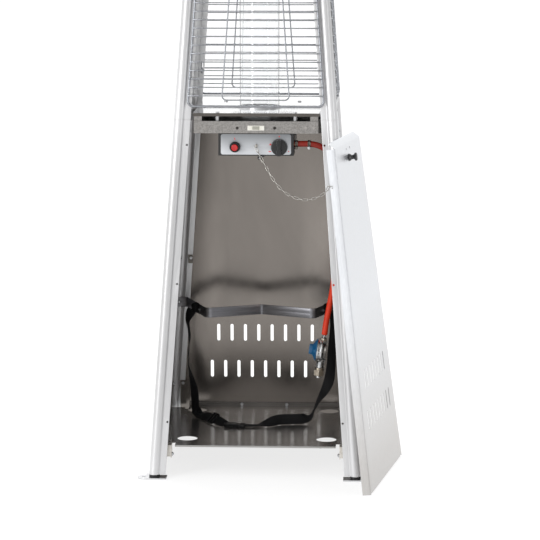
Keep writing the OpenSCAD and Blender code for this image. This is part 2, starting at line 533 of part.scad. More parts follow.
module cylinder_cap() { difference() { union() { cylinder(r1 = 10.4, r2 = 11, h = 13, $fn = 64); translate([0, 0, 13]) cylinder(r = 12.4, h = 6, $fn = 64); } translate([0, 0, -1]) cylinder(r = 8.15, h = 22, $fn = 48); } }
module ignition_collar() {
  color([0.07, 0.07, 0.07]) translate([button_x, 0, ctrl_z]) {
    translate([0, -192, 0]) inward() cylinder_cap();
    translate([0, -174, 0]) inward() ring(9.6, 8.15, 16);
  }
}
module ignition_button() {
  color([0.8, 0.1, 0.08]) translate([button_x, -193.5, ctrl_z]) inward() { translate([0, 0, 1]) cylinder(r = 7.8, h = 27.5, $fn = 48); cylinder(r1 = 6.9, r2 = 7.8, h = 1, $fn = 48); }
}
module control_knob() {
  color([0.05, 0.05, 0.05]) translate([knob_x, 0, ctrl_z]) difference() {
    union() {
      translate([0, -185, 0]) inward() cylinder(r1 = knob_r - 1.2, r2 = knob_r, h = 7.5, $fn = 64);
      box([-6.3, -200, -16.5], [6.3, -184, 16.5]);
      intersection() {
        box([-6.3, -200, -22], [6.3, -184, 22]);
        translate([0, -200, 0]) inward() cylinder(r = knob_r - 0.6, h = 16, $fn = 64);
      }
    }
    translate([0, -192.5, 0]) inward() cylinder(r = 3.06, h = 20, $fn = 48);
    translate([0, -181.5, 0]) inward() ring(16.5, 7, 10);
  }
}
module valve_stem() {
  color([0.62, 0.6, 0.5]) translate([knob_x, -192, ctrl_z]) inward() cylinder(r = 3, h = 57, $fn = 48);
}
module gas_valve() {
  color([0.66, 0.6, 0.42]) difference() {
    union() {
      box([36, -166, 763], [73, -122, 794]);
      translate([knob_x, -169.5, ctrl_z]) inward() cylinder(r = 10, h = 5, $fn = 48);
      translate([70, -150, 783.7]) rotate([0, 90, 0]) cylinder(r = 6.5, h = 18.4, $fn = 32);
      translate([73, -150, 783.7]) rotate([0, 90, 0]) cylinder(r = 9, h = 10, $fn = 6);
      translate([knob_x, -123, ctrl_z]) inward() cylinder(r = 7, h = 10, $fn = 6);
    }
    translate([knob_x, -171, ctrl_z]) inward() cylinder(r = 3.08, h = 44, $fn = 48);
  }
}
module piezo_igniter() {
  color([0.85, 0.85, 0.83]) translate([button_x, -169.5, ctrl_z]) inward() difference() {
    union() { cylinder(r = 12.5, h = 22, $fn = 48); translate([0, 0, 20]) cylinder(r = 9, h = 34, $fn = 48); translate([0, 0, 52]) cylinder(r = 2.5, h = 8, $fn = 24); }
    translate([0, 0, -1]) cylinder(r = 9.65, h = 19, $fn = 48);
  }
}
module tilt_switch() {
  color([0.12, 0.12, 0.12]) {
    box([-120, 20, tray_z - 30], [-84, 52, tray_z]);
    translate([-102, 36, tray_z - 36]) cylinder(r = 8, h = 8, $fn = 32);
  }
}
module gas_pipe() {
  color([0.75, 0.76, 0.76]) {
    p = [[knob_x, -113, ctrl_z], [knob_x, -50, ctrl_z], [0, 0, 734], [0, 0, 747]];
    for (i = [0 : 2]) rod(p[i], p[i + 1], 4);
    for (i = [1, 2]) translate(p[i]) sphere(r = 5, $fn = 32);
    translate([0, 0, 742]) cylinder(r = 8, h = 5, $fn = 6);
  }
}
module pilot_burner() {
  color([0.6, 0.6, 0.58]) translate([30, -24, 0]) {
    translate([0, 0, 800]) cylinder(r = 4.5, h = 62, $fn = 32);
    translate([0, 0, tray_z - 2.5]) cylinder(r = 9, h = 2.5, $fn = 32);
  }
}
module main_burner() {
  color([0.28, 0.28, 0.29]) difference() {
    union() {
      translate([0, 0, 747]) cylinder(r = 12, h = 51, $fn = 48);
      translate([0, 0, 788]) cylinder(r1 = 13, r2 = 18, h = 18, $fn = 48);
      translate([0, 0, 804]) cylinder(r = 20, h = 42, $fn = 64);
      translate([0, 0, 844]) cylinder(r1 = 20, r2 = 12, h = 8, $fn = 64);
      for (a = [0, 90, 180, 270]) rotate([0, 0, a]) box([14, -6, tray_z - 2], [58, 6, tray_z]);
    }
    translate([0, 0, 746]) cylinder(r = 6, h = 77, $fn = 32);
    translate([0, 0, 806]) cylinder(r = 18, h = 38, $fn = 48);
    for (a = [0 : 30 : 150]) rotate([0, 0, a]) for (z = [812, 820, 828]) translate([-30, -1.5, z]) cube([60, 3, 4]);
    for (a = [0, 90]) rotate([0, 0, a]) translate([-20, -4, 756]) cube([40, 8, 16]);
  }
}

// ---------- glass and guards ----------
module tube_seat_ring() {
  color([0.3, 0.3, 0.31]) translate([0, 0, deck_z]) difference() {
    cylinder(r = 51.5, h = 4, $fn = 96);
    translate([0, 0, -1]) cylinder(r = deck_hole_r, h = 12, $fn = 96);
    translate([0, 0, 2]) cylinder(r = glass_r + 0.3, h = 12, $fn = 96);
  }
}
module glass_tube() {
  color([0.85, 0.9, 0.92, 0.35]) translate([0, 0, deck_z + 2]) ring(glass_r, glass_r - glass_wall, glass_top - deck_z - 2, 96);
}
// straight length of wire with flats, drawn in a leaning face
module flat_wire(a, b, t) {
  d = b - a;
  translate(a) rotate([0, atan2(d[0], d[2]), 0]) translate([-t / 2, -t / 2, 0]) cube([t, t, norm(d)]);
}
module guard(k) {
  z0 = guard_z0;
  z1 = guard_z1;
  c = 9;
  color([0.6, 0.62, 0.63]) face(k) {
    // frame wire with cut corners
    for (e = [[z0, 1], [z1, -1]]) let (x = hw(e[0]) - 30, zc = uz(e[0])) {
      flat_wire([-x + c - 1, 3.3, zc], [x - c + 1, 3.3, zc], guard_r * 1.8);
      for (s = [-1, 1]) flat_wire([s * (x - c - 1.2), 3.35, zc - e[1] * 1.1], [s * (x + 1), 3.35, zc + e[1] * (c + 1.2)], guard_r * 1.7);
    }
    for (s = [-1, 1]) flat_wire([s * (hw(z0) - 30.1), 3.25, uz(z0 + c - 1)], [s * (hw(z1) - 30.1), 3.25, uz(z1 - c + 1)], guard_r * 1.75);
    // loop wire down the middle
    for (s = [-1, 1]) flat_wire([s * (hw(888.4) - 109), -2.4, uz(888.4 - 1)], [s * (hw(1734) - 109), -2.4, uz(1734 + 1)], 3.1);
    flat_wire([-(hw(888.4) - 107.5), -2.45, uz(888.4)], [hw(888.4) - 107.5, -2.45, uz(888.4)], 3.3);
    flat_wire([-(hw(1734) - 107.5), -2.45, uz(1734)], [hw(1734) - 107.5, -2.45, uz(1734)], 3.3);
    for (i = [-2 : 57]) let (z = bar_z + wire_pitch * i, thick = (i == bar_rows[0] || i == bar_rows[1] || i == bar_rows[2]), r = thick ? 2 : 1.4, x = thick ? hw(z) - 31 : hw(z) - 27.5)
      box([-x, -0.3 - r, uz(z) - r], [x, -0.3 + r, uz(z) + r]);
    for (i = bar_rows) for (s = [-1, 1]) let (z = bar_z + wire_pitch * i, x = s * (hw(z) - 33)) {
      box([x - 1.9, 0.2, uz(z) - 1.9], [x + 1.9, 13.2, uz(z) + 1.9]);
      box([x - 1.7, 9.5, uz(z) - 12], [x + 1.7, 13, uz(z) + 1.5]);
    }
  }
}
module guard_front() guard(0);
module guard_right() guard(1);
module guard_rear() guard(2);
module guard_left() guard(3);

// ---------- top ----------
module top_frame() {
  color([0.55, 0.56, 0.57]) difference() {
    union() {
      box([-104, -104, leg_top], [104, 104, leg_top + 1.6]);
      for (k = [0 : 3]) rotate([0, 0, 90 * k]) box([-60, -93.5, leg_top - 20], [60, -92, leg_top + 1]);
    }
    translate([0, 0, leg_top - 3]) cylinder(r = glass_r + 1.5, h = 8, $fn = 96);
    for (sx = [-1, 1]) for (sy = [-1, 1]) translate([sx * (top_w / 2 - tube_r), sy * (top_w / 2 - tube_r), leg_top - 3]) cylinder(r = 3.1, h = 8, $fn = 24);
  }
}
module flame_screen() {
  color([0.5, 0.5, 0.5]) difference() {
    union() {
      translate([0, 0, leg_top + 1.6]) cylinder(r = screen_r, h = 72, $fn = 96);
      translate([0, 0, leg_top + 1.6]) cylinder(r = screen_r + 10, h = 1.2, $fn = 96);
    }
    translate([0, 0, leg_top]) cylinder(r = screen_r - 1.2, h = 90, $fn = 96);
    for (a = [0 : 15 : 165]) rotate([0, 0, a]) for (z = [12, 32, 52]) translate([-80, -3, leg_top + z]) cube([160, 6, 13]);
  }
}
module pyramid(x, z0, z1, tip) { translate([0, 0, z0]) rotate([0, 0, 45]) cylinder(r1 = x * sqrt(2), r2 = tip * sqrt(2), h = z1 - z0, $fn = 4); }
module roof_cap() {
  color([0.78, 0.79, 0.8]) difference() {
    union() {
      box([-roof_x, -roof_x, roof_z], [roof_x, roof_x, roof_z + 12]);
      pyramid(roof_x, roof_z + 12, roof_top, 4);
    }
    box([-roof_x + 1.2, -roof_x + 1.2, roof_z - 1], [roof_x - 1.2, roof_x - 1.2, roof_z + 12.01]);
    pyramid(roof_x - 1.2, roof_z + 12, roof_top - 1.6, 3);
  }
}
module cap_posts() {
  color([0.7, 0.71, 0.72]) intersection() {
    for (sx = [-1, 1]) for (sy = [-1, 1]) {
      translate([sx * 78, sy * 78, leg_top + 1.6]) cylinder(r = 5, h = 140, $fn = 32);
      translate([sx * 78, sy * 78, leg_top + 1.6]) cylinder(r = 8, h = 6, $fn = 6);
    }
    union() { box([-roof_x + 1.2, -roof_x + 1.2, leg_top], [roof_x - 1.2, roof_x - 1.2, roof_z + 12]); pyramid(roof_x - 1.2, roof_z + 12, roof_top - 1.6, 3); }
  }
}

// ---------- band and strap ----------
// plan of the band: centre line points, right half mirrored
band_half = [[-215, 197.8], [-196, 197.8], [-192, 196], [-189, 192], [-139, 55], [-136, 47], [-131, 42.5], [-124, 41], [-117, 43], [-10, 93], [0, 96]];
band_line = concat(band_half, [for (i = [len(band_half) - 2 : -1 : 0]) [-band_half[i][0], band_half[i][1]]]);
function side_of(p, i, d) = let (m = len(p), t = unit(p[min(i + 1, m - 1)] - p[max(i - 1, 0)])) p[i] + d * [-t[1], t[0]];
module retaining_band() {
  color([0.36, 0.36, 0.39]) difference() {
    translate([0, 0, band_z - band_h / 2]) linear_extrude(band_h)
      polygon(concat([for (i = [0 : len(band_line) - 1]) side_of(band_line, i, 1.25)], [for (i = [len(band_line) - 1 : -1 : 0]) side_of(band_line, i, -1.25)]));
    for (s = [-1, 1]) translate([s * (hw(band_z) - tube_r), 190, band_z]) inward() cylinder(r = flange_hole_r, h = 12, $fn = 24);
  }
}
module cylinder_strap() color([0.04, 0.04, 0.04]) sweep_strap(strap_path, 25, 1.5, 2);
module strap_buckle() {
  color([0.05, 0.05, 0.05]) {
    translate([-59, -16.5, 79.9]) rotate([0, 0, -3]) {
      box([-27, -14, -4.5], [6, 14, 4.5]);
      box([3, -10, -3.5], [24, 10, 3.5]);
      for (s = [-1, 1]) box([-20, min(s * 12, s * 16), -4], [-4, max(s * 12, s * 16), 4]);
    }
    translate([-116, 24, 87.6]) rotate([0, 0, -54]) rotate([40, 0, 0]) difference() {
      box([-13, -16, -2], [13, 16, 2.6]);
      for (s = [-1, 1]) box([min(s * 3, s * 9), -13, -4], [max(s * 3, s * 9), 13, 4]);
    }
    // rivets at the band
    translate([-151.6, 89.5, band_z]) rotate([0, 0, 20]) rotate([0, 90, 0]) cylinder(r = 4, h = 1.6, center = true, $fn = 24);
    translate([151.6, 89.5, band_z]) rotate([0, 0, -20]) rotate([0, 90, 0]) cylinder(r = 4, h = 1.6, center = true, $fn = 24);
  }
}

// ---------- gas line ----------
module gas_hose() color([0.72, 0.2, 0.1]) sweep_tube(hose_path, hose_r, 12, 4, [1, 0, 0], [-sin(reg_tilt), 0, -cos(reg_tilt)]);
module hose_clamps() {
  color([0.3, 0.3, 0.31]) for (x = [90.2, 120]) translate([x, -150, 783.7]) {
    rotate([0, 90, 0]) ring(hose_r + 1.6, hose_r + 0.35, 7);
    translate([0.3, -5, -hose_r - 5.8]) cube([6.4, 10, 5.4]);
    translate([3.5, -9.2, -hose_r - 2]) rotate([-90, 0, 0]) cylinder(r = 4, h = 2.8, $fn = 6);
    translate([3.5, -9, -hose_r - 2.4]) rotate([-90, 0, 0]) cylinder(r = 1.9, h = 15, $fn = 24);
  }
}
module reg() { translate([158.4, -60, 311]) rotate([0, reg_tilt, 0]) children(); }
module regulator_body() {
  color([0.62, 0.63, 0.65]) reg() {
    translate([0, 0, -10]) cylinder(r = 4.3, h = 14.5, $fn = 32);
    translate([0, 0, -12]) cylinder(r = 9, h = 6, $fn = 6);
    translate([-13.5, 0, -36]) rotate([0, 90, 0]) cylinder(r = reg_r, h = 14, $fn = 64);
    translate([0.4, 0, -36]) rotate([0, 90, 0]) cylinder(r1 = reg_r, r2 = reg_r - 8, h = 8, $fn = 64);
    translate([-1, 0, -78]) cylinder(r = 9, h = 20, $fn = 32);
    translate([-1, 0, -104]) cylinder(r = 6.5, h = 40, $fn = 48);
  }
}
module regulator_cap() {
  color([0.11, 0.3, 0.47]) reg() translate([-13.5, 0, -36]) rotate([0, -90, 0]) {
    rotate_extrude($fn = 96) polygon([[0, 0], [26.5, 0], [26.5, 1.6], [24.6, 3.2], [21, 5.4], [17, 7.8], [14, 10], [12.2, 11], [12.2, 17.6], [11.2, 18.4], [0, 18.4]]);
    for (a = [0 : 20 : 340]) rotate([0, 0, a]) translate([12, 0, 9]) cylinder(r = 0.9, h = 8.2, $fn = 12);
  }
}
module regulator_nut() {
  color([0.55, 0.48, 0.38]) reg() translate([-1, 0, -98]) difference() {
    union() { cylinder(r = 13.4, h = 14, $fn = 6); translate([0, 0, 14]) cylinder(r = 11, h = 5.6, $fn = 48); }
    translate([0, 0, -1]) cylinder(r = 6.58, h = 30, $fn = 48);
  }
}
module chain() color([0.55, 0.56, 0.56]) sweep_tube(chain_path, 2, 8, 4, unit([0.2, -0.1, -1]), unit([4.5, -9, 7.5]));
module chain_eyelet() {
  color([0.6, 0.61, 0.62]) {
    translate([1, -174, 781]) inward() cylinder(r = 3.4, h = 1, $fn = 32);
    translate([1, -176, 781]) inward() cylinder(r = 2, h = 12, $fn = 24);
    translate([1, -169.5, 781]) inward() cylinder(r = 4.5, h = 3, $fn = 6);
    translate([1, -179.2, 781]) rotate([0, 90, 0]) rotate_extrude($fn = 32) translate([3.8, 0]) circle(r = 1.1, $fn = 16);
  }
}

leg_lower_front_left();
leg_lower_front_right();
leg_lower_rear_left();
leg_lower_rear_right();
leg_upper_front_left();
leg_upper_front_right();
leg_upper_rear_left();
leg_upper_rear_right();
leg_joiners();
leg_plugs();
anchor_plates();
foot_bolts();
panel_screws();
side_panel_left();
side_panel_right();
back_panel();
frame_brackets();
base_plate();
cabinet_bolts();
door_panel();
door_knob();
door_strike_plate();
door_fixings();
top_plate();
support_tray();
tray_fasteners();
catch_body();
catch_strips();
control_box();
control_fascia();
ignition_collar();
ignition_button();
control_knob();
valve_stem();
gas_valve();
piezo_igniter();
tilt_switch();
gas_pipe();
pilot_burner();
main_burner();
tube_seat_ring();
glass_tube();
guard_front();
guard_right();
guard_rear();
guard_left();
top_frame();
flame_screen();
roof_cap();
cap_posts();
retaining_band();
cylinder_strap();
strap_buckle();
gas_hose();
hose_clamps();
regulator_body();
regulator_cap();
regulator_nut();
chain();
chain_eyelet();
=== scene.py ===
import math

import bmesh
import bpy
from mathutils import Matrix, Vector


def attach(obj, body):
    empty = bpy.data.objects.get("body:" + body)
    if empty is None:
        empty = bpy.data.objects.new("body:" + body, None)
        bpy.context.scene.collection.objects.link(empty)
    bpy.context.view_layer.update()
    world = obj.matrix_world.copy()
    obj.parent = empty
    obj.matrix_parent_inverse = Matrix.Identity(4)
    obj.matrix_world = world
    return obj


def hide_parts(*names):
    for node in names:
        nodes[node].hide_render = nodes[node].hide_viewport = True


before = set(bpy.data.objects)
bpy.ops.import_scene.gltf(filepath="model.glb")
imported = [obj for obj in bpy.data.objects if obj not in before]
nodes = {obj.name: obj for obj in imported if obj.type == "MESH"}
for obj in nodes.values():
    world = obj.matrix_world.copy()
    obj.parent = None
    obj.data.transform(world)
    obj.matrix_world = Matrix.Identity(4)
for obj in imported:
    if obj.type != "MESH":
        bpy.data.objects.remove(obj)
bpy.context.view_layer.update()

# ------------------------------------------------------------------ camera
scene = bpy.context.scene
cam_data = bpy.data.cameras.new("photo_camera")
cam = bpy.data.objects.new("photo_camera", cam_data)
scene.collection.objects.link(cam)
cam_data.lens = 160.03
cam_data.sensor_width = 36.0
cam_data.clip_start, cam_data.clip_end = 0.1, 200.0
cam.location = (0.28688, -5.73948, 1.35362)
YAW, PITCH = 0.0456, 0.1541
look = Vector((-math.sin(YAW) * math.cos(PITCH), math.cos(YAW) * math.cos(PITCH), -math.sin(PITCH)))
cam.rotation_mode = "QUATERNION"
cam.rotation_quaternion = look.to_track_quat("-Z", "Y")
scene.camera = cam
scene.view_settings.view_transform = "Standard"
scene.view_settings.look = "None"

# ------------------------------------------------------------------ node materials


class Nodes:
    """Short calls for building one procedural material."""

    def __init__(self, name):
        self.mat = bpy.data.materials.new(name)
        self.mat.use_nodes = True
        self.tree = self.mat.node_tree
        self.tree.nodes.clear()
        self.out = self.add("ShaderNodeOutputMaterial")
        self.bsdf = self.add("ShaderNodeBsdfPrincipled")
        self.link(self.bsdf.outputs[0], self.out.inputs[0])
        self.coord = self.add("ShaderNodeTexCoord")

    def add(self, kind, **values):
        n = self.tree.nodes.new(kind)
        for k, v in values.items():
            setattr(n, k, v)
        return n

    def link(self, a, b):
        self.tree.links.new(a, b)

    def space(self, stretch=(1, 1, 1), turn=(0, 0, 0), source="Object"):
        m = self.add("ShaderNodeMapping")
        m.inputs["Scale"].default_value = stretch
        m.inputs["Rotation"].default_value = turn
        self.link(self.coord.outputs[source], m.inputs["Vector"])
        return m.outputs["Vector"]

    def noise(self, vector, scale, detail=3.0, rough=0.55, distort=0.0):
        n = self.add("ShaderNodeTexNoise")
        n.inputs["Scale"].default_value = scale
        n.inputs["Detail"].default_value = detail
        n.inputs["Roughness"].default_value = rough
        n.inputs["Distortion"].default_value = distort
        self.link(vector, n.inputs["Vector"])
        return n.outputs["Fac"]

    def cells(self, vector, scale, feature="F1", out="Color"):
        n = self.add("ShaderNodeTexVoronoi", feature=feature)
        n.inputs["Scale"].default_value = scale
        self.link(vector, n.inputs["Vector"])
        return n.outputs[out]

    def ramp(self, fac, stops):
        n = self.add("ShaderNodeValToRGB")
        e = n.color_ramp.elements
        while len(e) > 1:
            e.remove(e[-1])
        e[0].position, e[0].color = stops[0][0], (*stops[0][1], 1)
        for p, c in stops[1:]:
            el = e.new(p)
            el.color = (*c, 1)
        self.link(fac, n.inputs[0])
        return n.outputs[0]

    def span(self, fac, lo, hi, a=0.0, b=1.0):
        n = self.add("ShaderNodeMapRange")
        n.inputs["From Min"].default_value, n.inputs["From Max"].default_value = a, b
        n.inputs["To Min"].default_value, n.inputs["To Max"].default_value = lo, hi
        self.link(fac, n.inputs["Value"])
        return n.outputs["Result"]

    def mix(self, fac, a, b, blend="MIX"):
        n = self.add("ShaderNodeMix", data_type="RGBA", blend_type=blend)
        for value, socket in ((fac, n.inputs[0]), (a, n.inputs[6]), (b, n.inputs[7])):
            if isinstance(value, (int, float)):
                socket.default_value = value
            elif isinstance(value, tuple):
                socket.default_value = (*value, 1)
            else:
                self.link(value, socket)
        return n.outputs[2]

    def math(self, op, a, b=0.0, c=0.0):
        n = self.add("ShaderNodeMath", operation=op)
        for i, v in enumerate((a, b, c)):
            if isinstance(v, (int, float)):
                n.inputs[i].default_value = v
            else:
                self.link(v, n.inputs[i])
        return n.outputs[0]

    def split(self, vector):
        n = self.add("ShaderNodeSeparateXYZ")
        self.link(vector, n.inputs[0])
        return n.outputs

    def bump(self, height, strength, distance, normal=None):
        n = self.add("ShaderNodeBump")
        n.inputs["Strength"].default_value = strength
        n.inputs["Distance"].default_value = distance
        self.link(height, n.inputs["Height"])
        if normal is not None:
            self.link(normal, n.inputs["Normal"])
        return n.outputs[0]

    def soft_edges(self, radius):
        n = self.add("ShaderNodeBevel", samples=4)
        n.inputs["Radius"].default_value = radius
        return n.outputs[0]

    def edge(self, lo=0.52, hi=0.6):
        g = self.add("ShaderNodeNewGeometry")
        return self.span(g.outputs["Pointiness"], 0.0, 1.0, lo, hi)

    def done(self, colour, rough, normal=None, metal=0.0, **flat):
        self.link(colour, self.bsdf.inputs["Base Color"])
        self.link(rough, self.bsdf.inputs["Roughness"])
        if normal is not None:
            self.link(normal, self.bsdf.inputs["Normal"])
        self.bsdf.inputs["Metallic"].default_value = metal
        for k, v in flat.items():
            self.bsdf.inputs[k.replace("_", " ")].default_value = v
        return self.mat


def metal_finish(name, lo, hi, rough, stretch=(1, 1, 1), grain=60.0, bump=0.15, depth=0.0002, metal=1.0,
                 blotch=0.12, blotch_scale=6.0, edges=None, soft=0.0004, fine=900.0, **flat):
    """Brushed, rolled or cast metal: grain drawn out along one way, slow cloudy variation, rubbed edges."""
    m = Nodes(name)
    v = m.space(stretch)
    g = m.noise(v, grain, 4.0, 0.6)
    cloud = m.noise(m.space(), blotch_scale, 3.0, 0.5)
    base = m.ramp(g, [(0.3, lo), (0.7, hi)])
    dark = tuple(c * (1 - blotch) for c in (1, 1, 1))
    base = m.mix(1.0, base, m.ramp(cloud, [(0.3, dark), (0.7, (1, 1, 1))]), "MULTIPLY")
    speck = m.noise(m.space(), fine, 2.0, 0.5)
    if edges is not None:
        base = m.mix(m.math("MULTIPLY", m.edge(), 0.6), base, edges)
    r = m.math("ADD", m.span(g, rough[0], rough[1]), m.span(cloud, -0.04, 0.04))
    n = m.bump(m.math("ADD", m.math("MULTIPLY", g, 0.7), m.math("MULTIPLY", speck, 0.3)), bump, depth, m.soft_edges(soft) if soft else None)
    return m.done(base, r, n, metal, **flat)


def paint_finish(name, lo, hi, rough, grain=700.0, bump=0.12, depth=0.0001, blotch_scale=9.0, metal=0.0,
                 edges=None, soft=0.0005, **flat):
    """Paint, enamel or moulded plastic: fine orange-peel skin, faint handling marks."""
    m = Nodes(name)
    cloud = m.noise(m.space(), blotch_scale, 4.0, 0.6)
    peel = m.noise(m.space(), grain, 2.0, 0.5)
    rub = m.noise(m.space((1, 1, 0.25)), 55.0, 5.0, 0.7)
    base = m.ramp(cloud, [(0.25, lo), (0.75, hi)])
    if edges is not None:
        base = m.mix(m.math("MULTIPLY", m.edge(), 0.5), base, edges)
    r = m.math("ADD", m.span(rub, rough[0], rough[1], 0.3, 0.7), m.span(peel, -0.02, 0.02))
    n = m.bump(peel, bump, depth, m.soft_edges(soft) if soft else None)
    return m.done(base, r, n, metal, **flat)


def panel_finish(name, inner, outer, axis, sign, rough):
    """Cabinet sheet steel: bright film-fresh outside; the inner faces get a duller brown-grey copy of it, painted shade
    for the cabinet's interior; fine grain along the height.
    """
    m = Nodes(name)
    g = m.noise(m.space((1, 1, 0.012)), 900.0, 3.0, 0.6)
    cloud = m.noise(m.space((1, 1, 0.6)), 4.0, 4.0, 0.55, 0.6)
    smear = m.noise(m.space((1.0, 1.0, 0.3)), 26.0, 5.0, 0.7)
    side = m.math("MULTIPLY", m.split(m.coord.outputs["Normal"])[axis], float(sign))
    side = m.span(side, 0.0, 1.0, -0.1, 0.1)
    # painted shade: the inner faces get a darker brown-grey copy of the sheet colour
    shaded_inside = m.ramp(cloud, [(0.25, tuple(c * 0.86 for c in inner)), (0.75, tuple(c * 1.1 for c in inner))])
    if axis == 1:
        # painted light: the back panel's inner faces are lightened toward both side ends around mid height
        part = m.split(m.coord.outputs["Object"])
        painted_light_rim = m.math("MULTIPLY", m.span(m.math("ABSOLUTE", part[0]), 0.0, 1.0, 0.09, 0.185), m.span(m.math("ABSOLUTE", m.math("SUBTRACT", part[2], 0.43)), 1.0, 0.0, 0.12, 0.36))
        shaded_inside = m.mix(m.math("MULTIPLY", painted_light_rim, 0.8), shaded_inside, tuple(min(1.0, c * 1.7) for c in inner))
    outside = m.ramp(cloud, [(0.25, tuple(c * 0.95 for c in outer)), (0.75, outer)])
    base = m.mix(side, shaded_inside, outside)
    base = m.mix(1.0, base, m.ramp(g, [(0.2, (0.93, 0.93, 0.93)), (0.8, (1, 1, 1))]), "MULTIPLY")
    r = m.math("ADD", m.math("ADD", m.span(smear, rough[0], rough[1], 0.3, 0.7), m.span(side, 0.0, 0.16)), m.span(g, -0.02, 0.02))
    n = m.bump(g, 0.08, 0.00003)
    return m.done(base, r, n, 1.0)


def galvanised_finish(name, lo, hi, rough=(0.3, 0.48), scale=110.0, soft=0.0004):
    """Zinc-dipped sheet with crystal spangle, white bloom and run marks."""
    m = Nodes(name)
    v = m.space()
    cell = m.cells(v, scale)
    shade = m.add("ShaderNodeRGBToBW")
    m.link(cell, shade.inputs[0])
    bloom = m.noise(v, 14.0, 5.0, 0.65)
    runs = m.noise(m.space((1, 1, 0.15)), 60.0, 3.0, 0.6)
    base = m.ramp(shade.outputs[0], [(0.15, lo), (0.85, hi)])
    base = m.mix(m.span(bloom, 0.0, 0.45, 0.5, 0.75), base, tuple(min(1.0, c * 1.12) for c in hi))
    base = m.mix(1.0, base, m.ramp(runs, [(0.3, (0.86, 0.86, 0.86)), (0.6, (1, 1, 1))]), "MULTIPLY")
    r = m.math("ADD", m.span(shade.outputs[0], rough[0], rough[1]), m.span(bloom, -0.03, 0.06))
    n = m.bump(m.math("ADD", shade.outputs[0], runs), 0.12, 0.0001, m.soft_edges(soft))
    return m.done(base, r, n, 0.9)


def bracket_finish():
    """Zinc plate brackets: the front ones pale and matt; the rear ones, at mid height too, darker and shiny, their
    darker colour painted shade for the cabinet's interior.
    """
    m = Nodes("bracket_plate")
    v = m.space()
    part = m.split(m.coord.outputs["Object"])
    shaded_rear_mask = m.span(part[1], 0.0, 1.0, -0.19, -0.17)
    cell = m.add("ShaderNodeRGBToBW")
    m.link(m.cells(v, 160.0), cell.inputs[0])
    cloud = m.noise(v, 22.0, 4.0, 0.6)
    front = m.ramp(cell.outputs[0], [(0.1, (0.62, 0.59, 0.54)), (0.9, (0.76, 0.73, 0.68))])
    # painted shade: the rear brackets get a dark colour for the shade in the cabinet
    rear = m.ramp(cloud, [(0.3, (0.16, 0.145, 0.13)), (0.7, (0.27, 0.25, 0.23))])
    base = m.mix(shaded_rear_mask, front, rear)
    r = m.math("ADD", m.span(shaded_rear_mask, 0.42, 0.2), m.span(cloud, -0.05, 0.07))
    return m.done(base, r, m.bump(m.math("ADD", cell.outputs[0], cloud), 0.1, 0.0001, m.soft_edges(0.0004)), 0.9)


def fastener_finish():
    """Bright zinc posts; the rivets in the front fold are dull, close to the sheet's own colour."""
    m = Nodes("tray_fastener_zinc")
    g = m.noise(m.space(), 500.0, 4.0, 0.6)
    cloud = m.noise(m.space(), 80.0, 3.0, 0.5)
    fore = m.span(m.split(m.coord.outputs["Object"])[1], 1.0, 0.0, -0.168, -0.166)
    bright = m.ramp(g, [(0.3, (0.42, 0.42, 0.43)), (0.7, (0.62, 0.62, 0.63))])
    dull = m.ramp(cloud, [(0.3, (0.25, 0.235, 0.22)), (0.7, (0.42, 0.40, 0.38))])
    base = m.mix(fore, bright, dull)
    return m.done(base, m.span(cloud, 0.26, 0.42), m.bump(g, 0.15, 0.00006, m.soft_edges(0.0004)), 1.0)


def fascia_finish():
    """Silver-grey painted plate, darker toward the deck above it: painted shade under the deck."""
    m = Nodes("fascia_silver")
    z = m.split(m.coord.outputs["Object"])[2]
    cloud = m.noise(m.space(), 5.0, 4.0, 0.6)
    peel = m.noise(m.space(), 1300.0, 2.0, 0.5)
    low = m.ramp(cloud, [(0.25, (0.55, 0.565, 0.59)), (0.75, (0.62, 0.635, 0.66))])
    # painted shade: the plate turns dark grey toward its top, under the deck
    base = m.mix(m.span(z, 0.0, 1.0, 0.768, 0.805), low, (0.24, 0.25, 0.262))
    r = m.math("ADD", m.span(cloud, 0.30, 0.42), m.span(peel, -0.02, 0.02))
    return m.done(base, r, m.bump(peel, 0.12, 0.00005, m.soft_edges(0.0005)), 0.5)


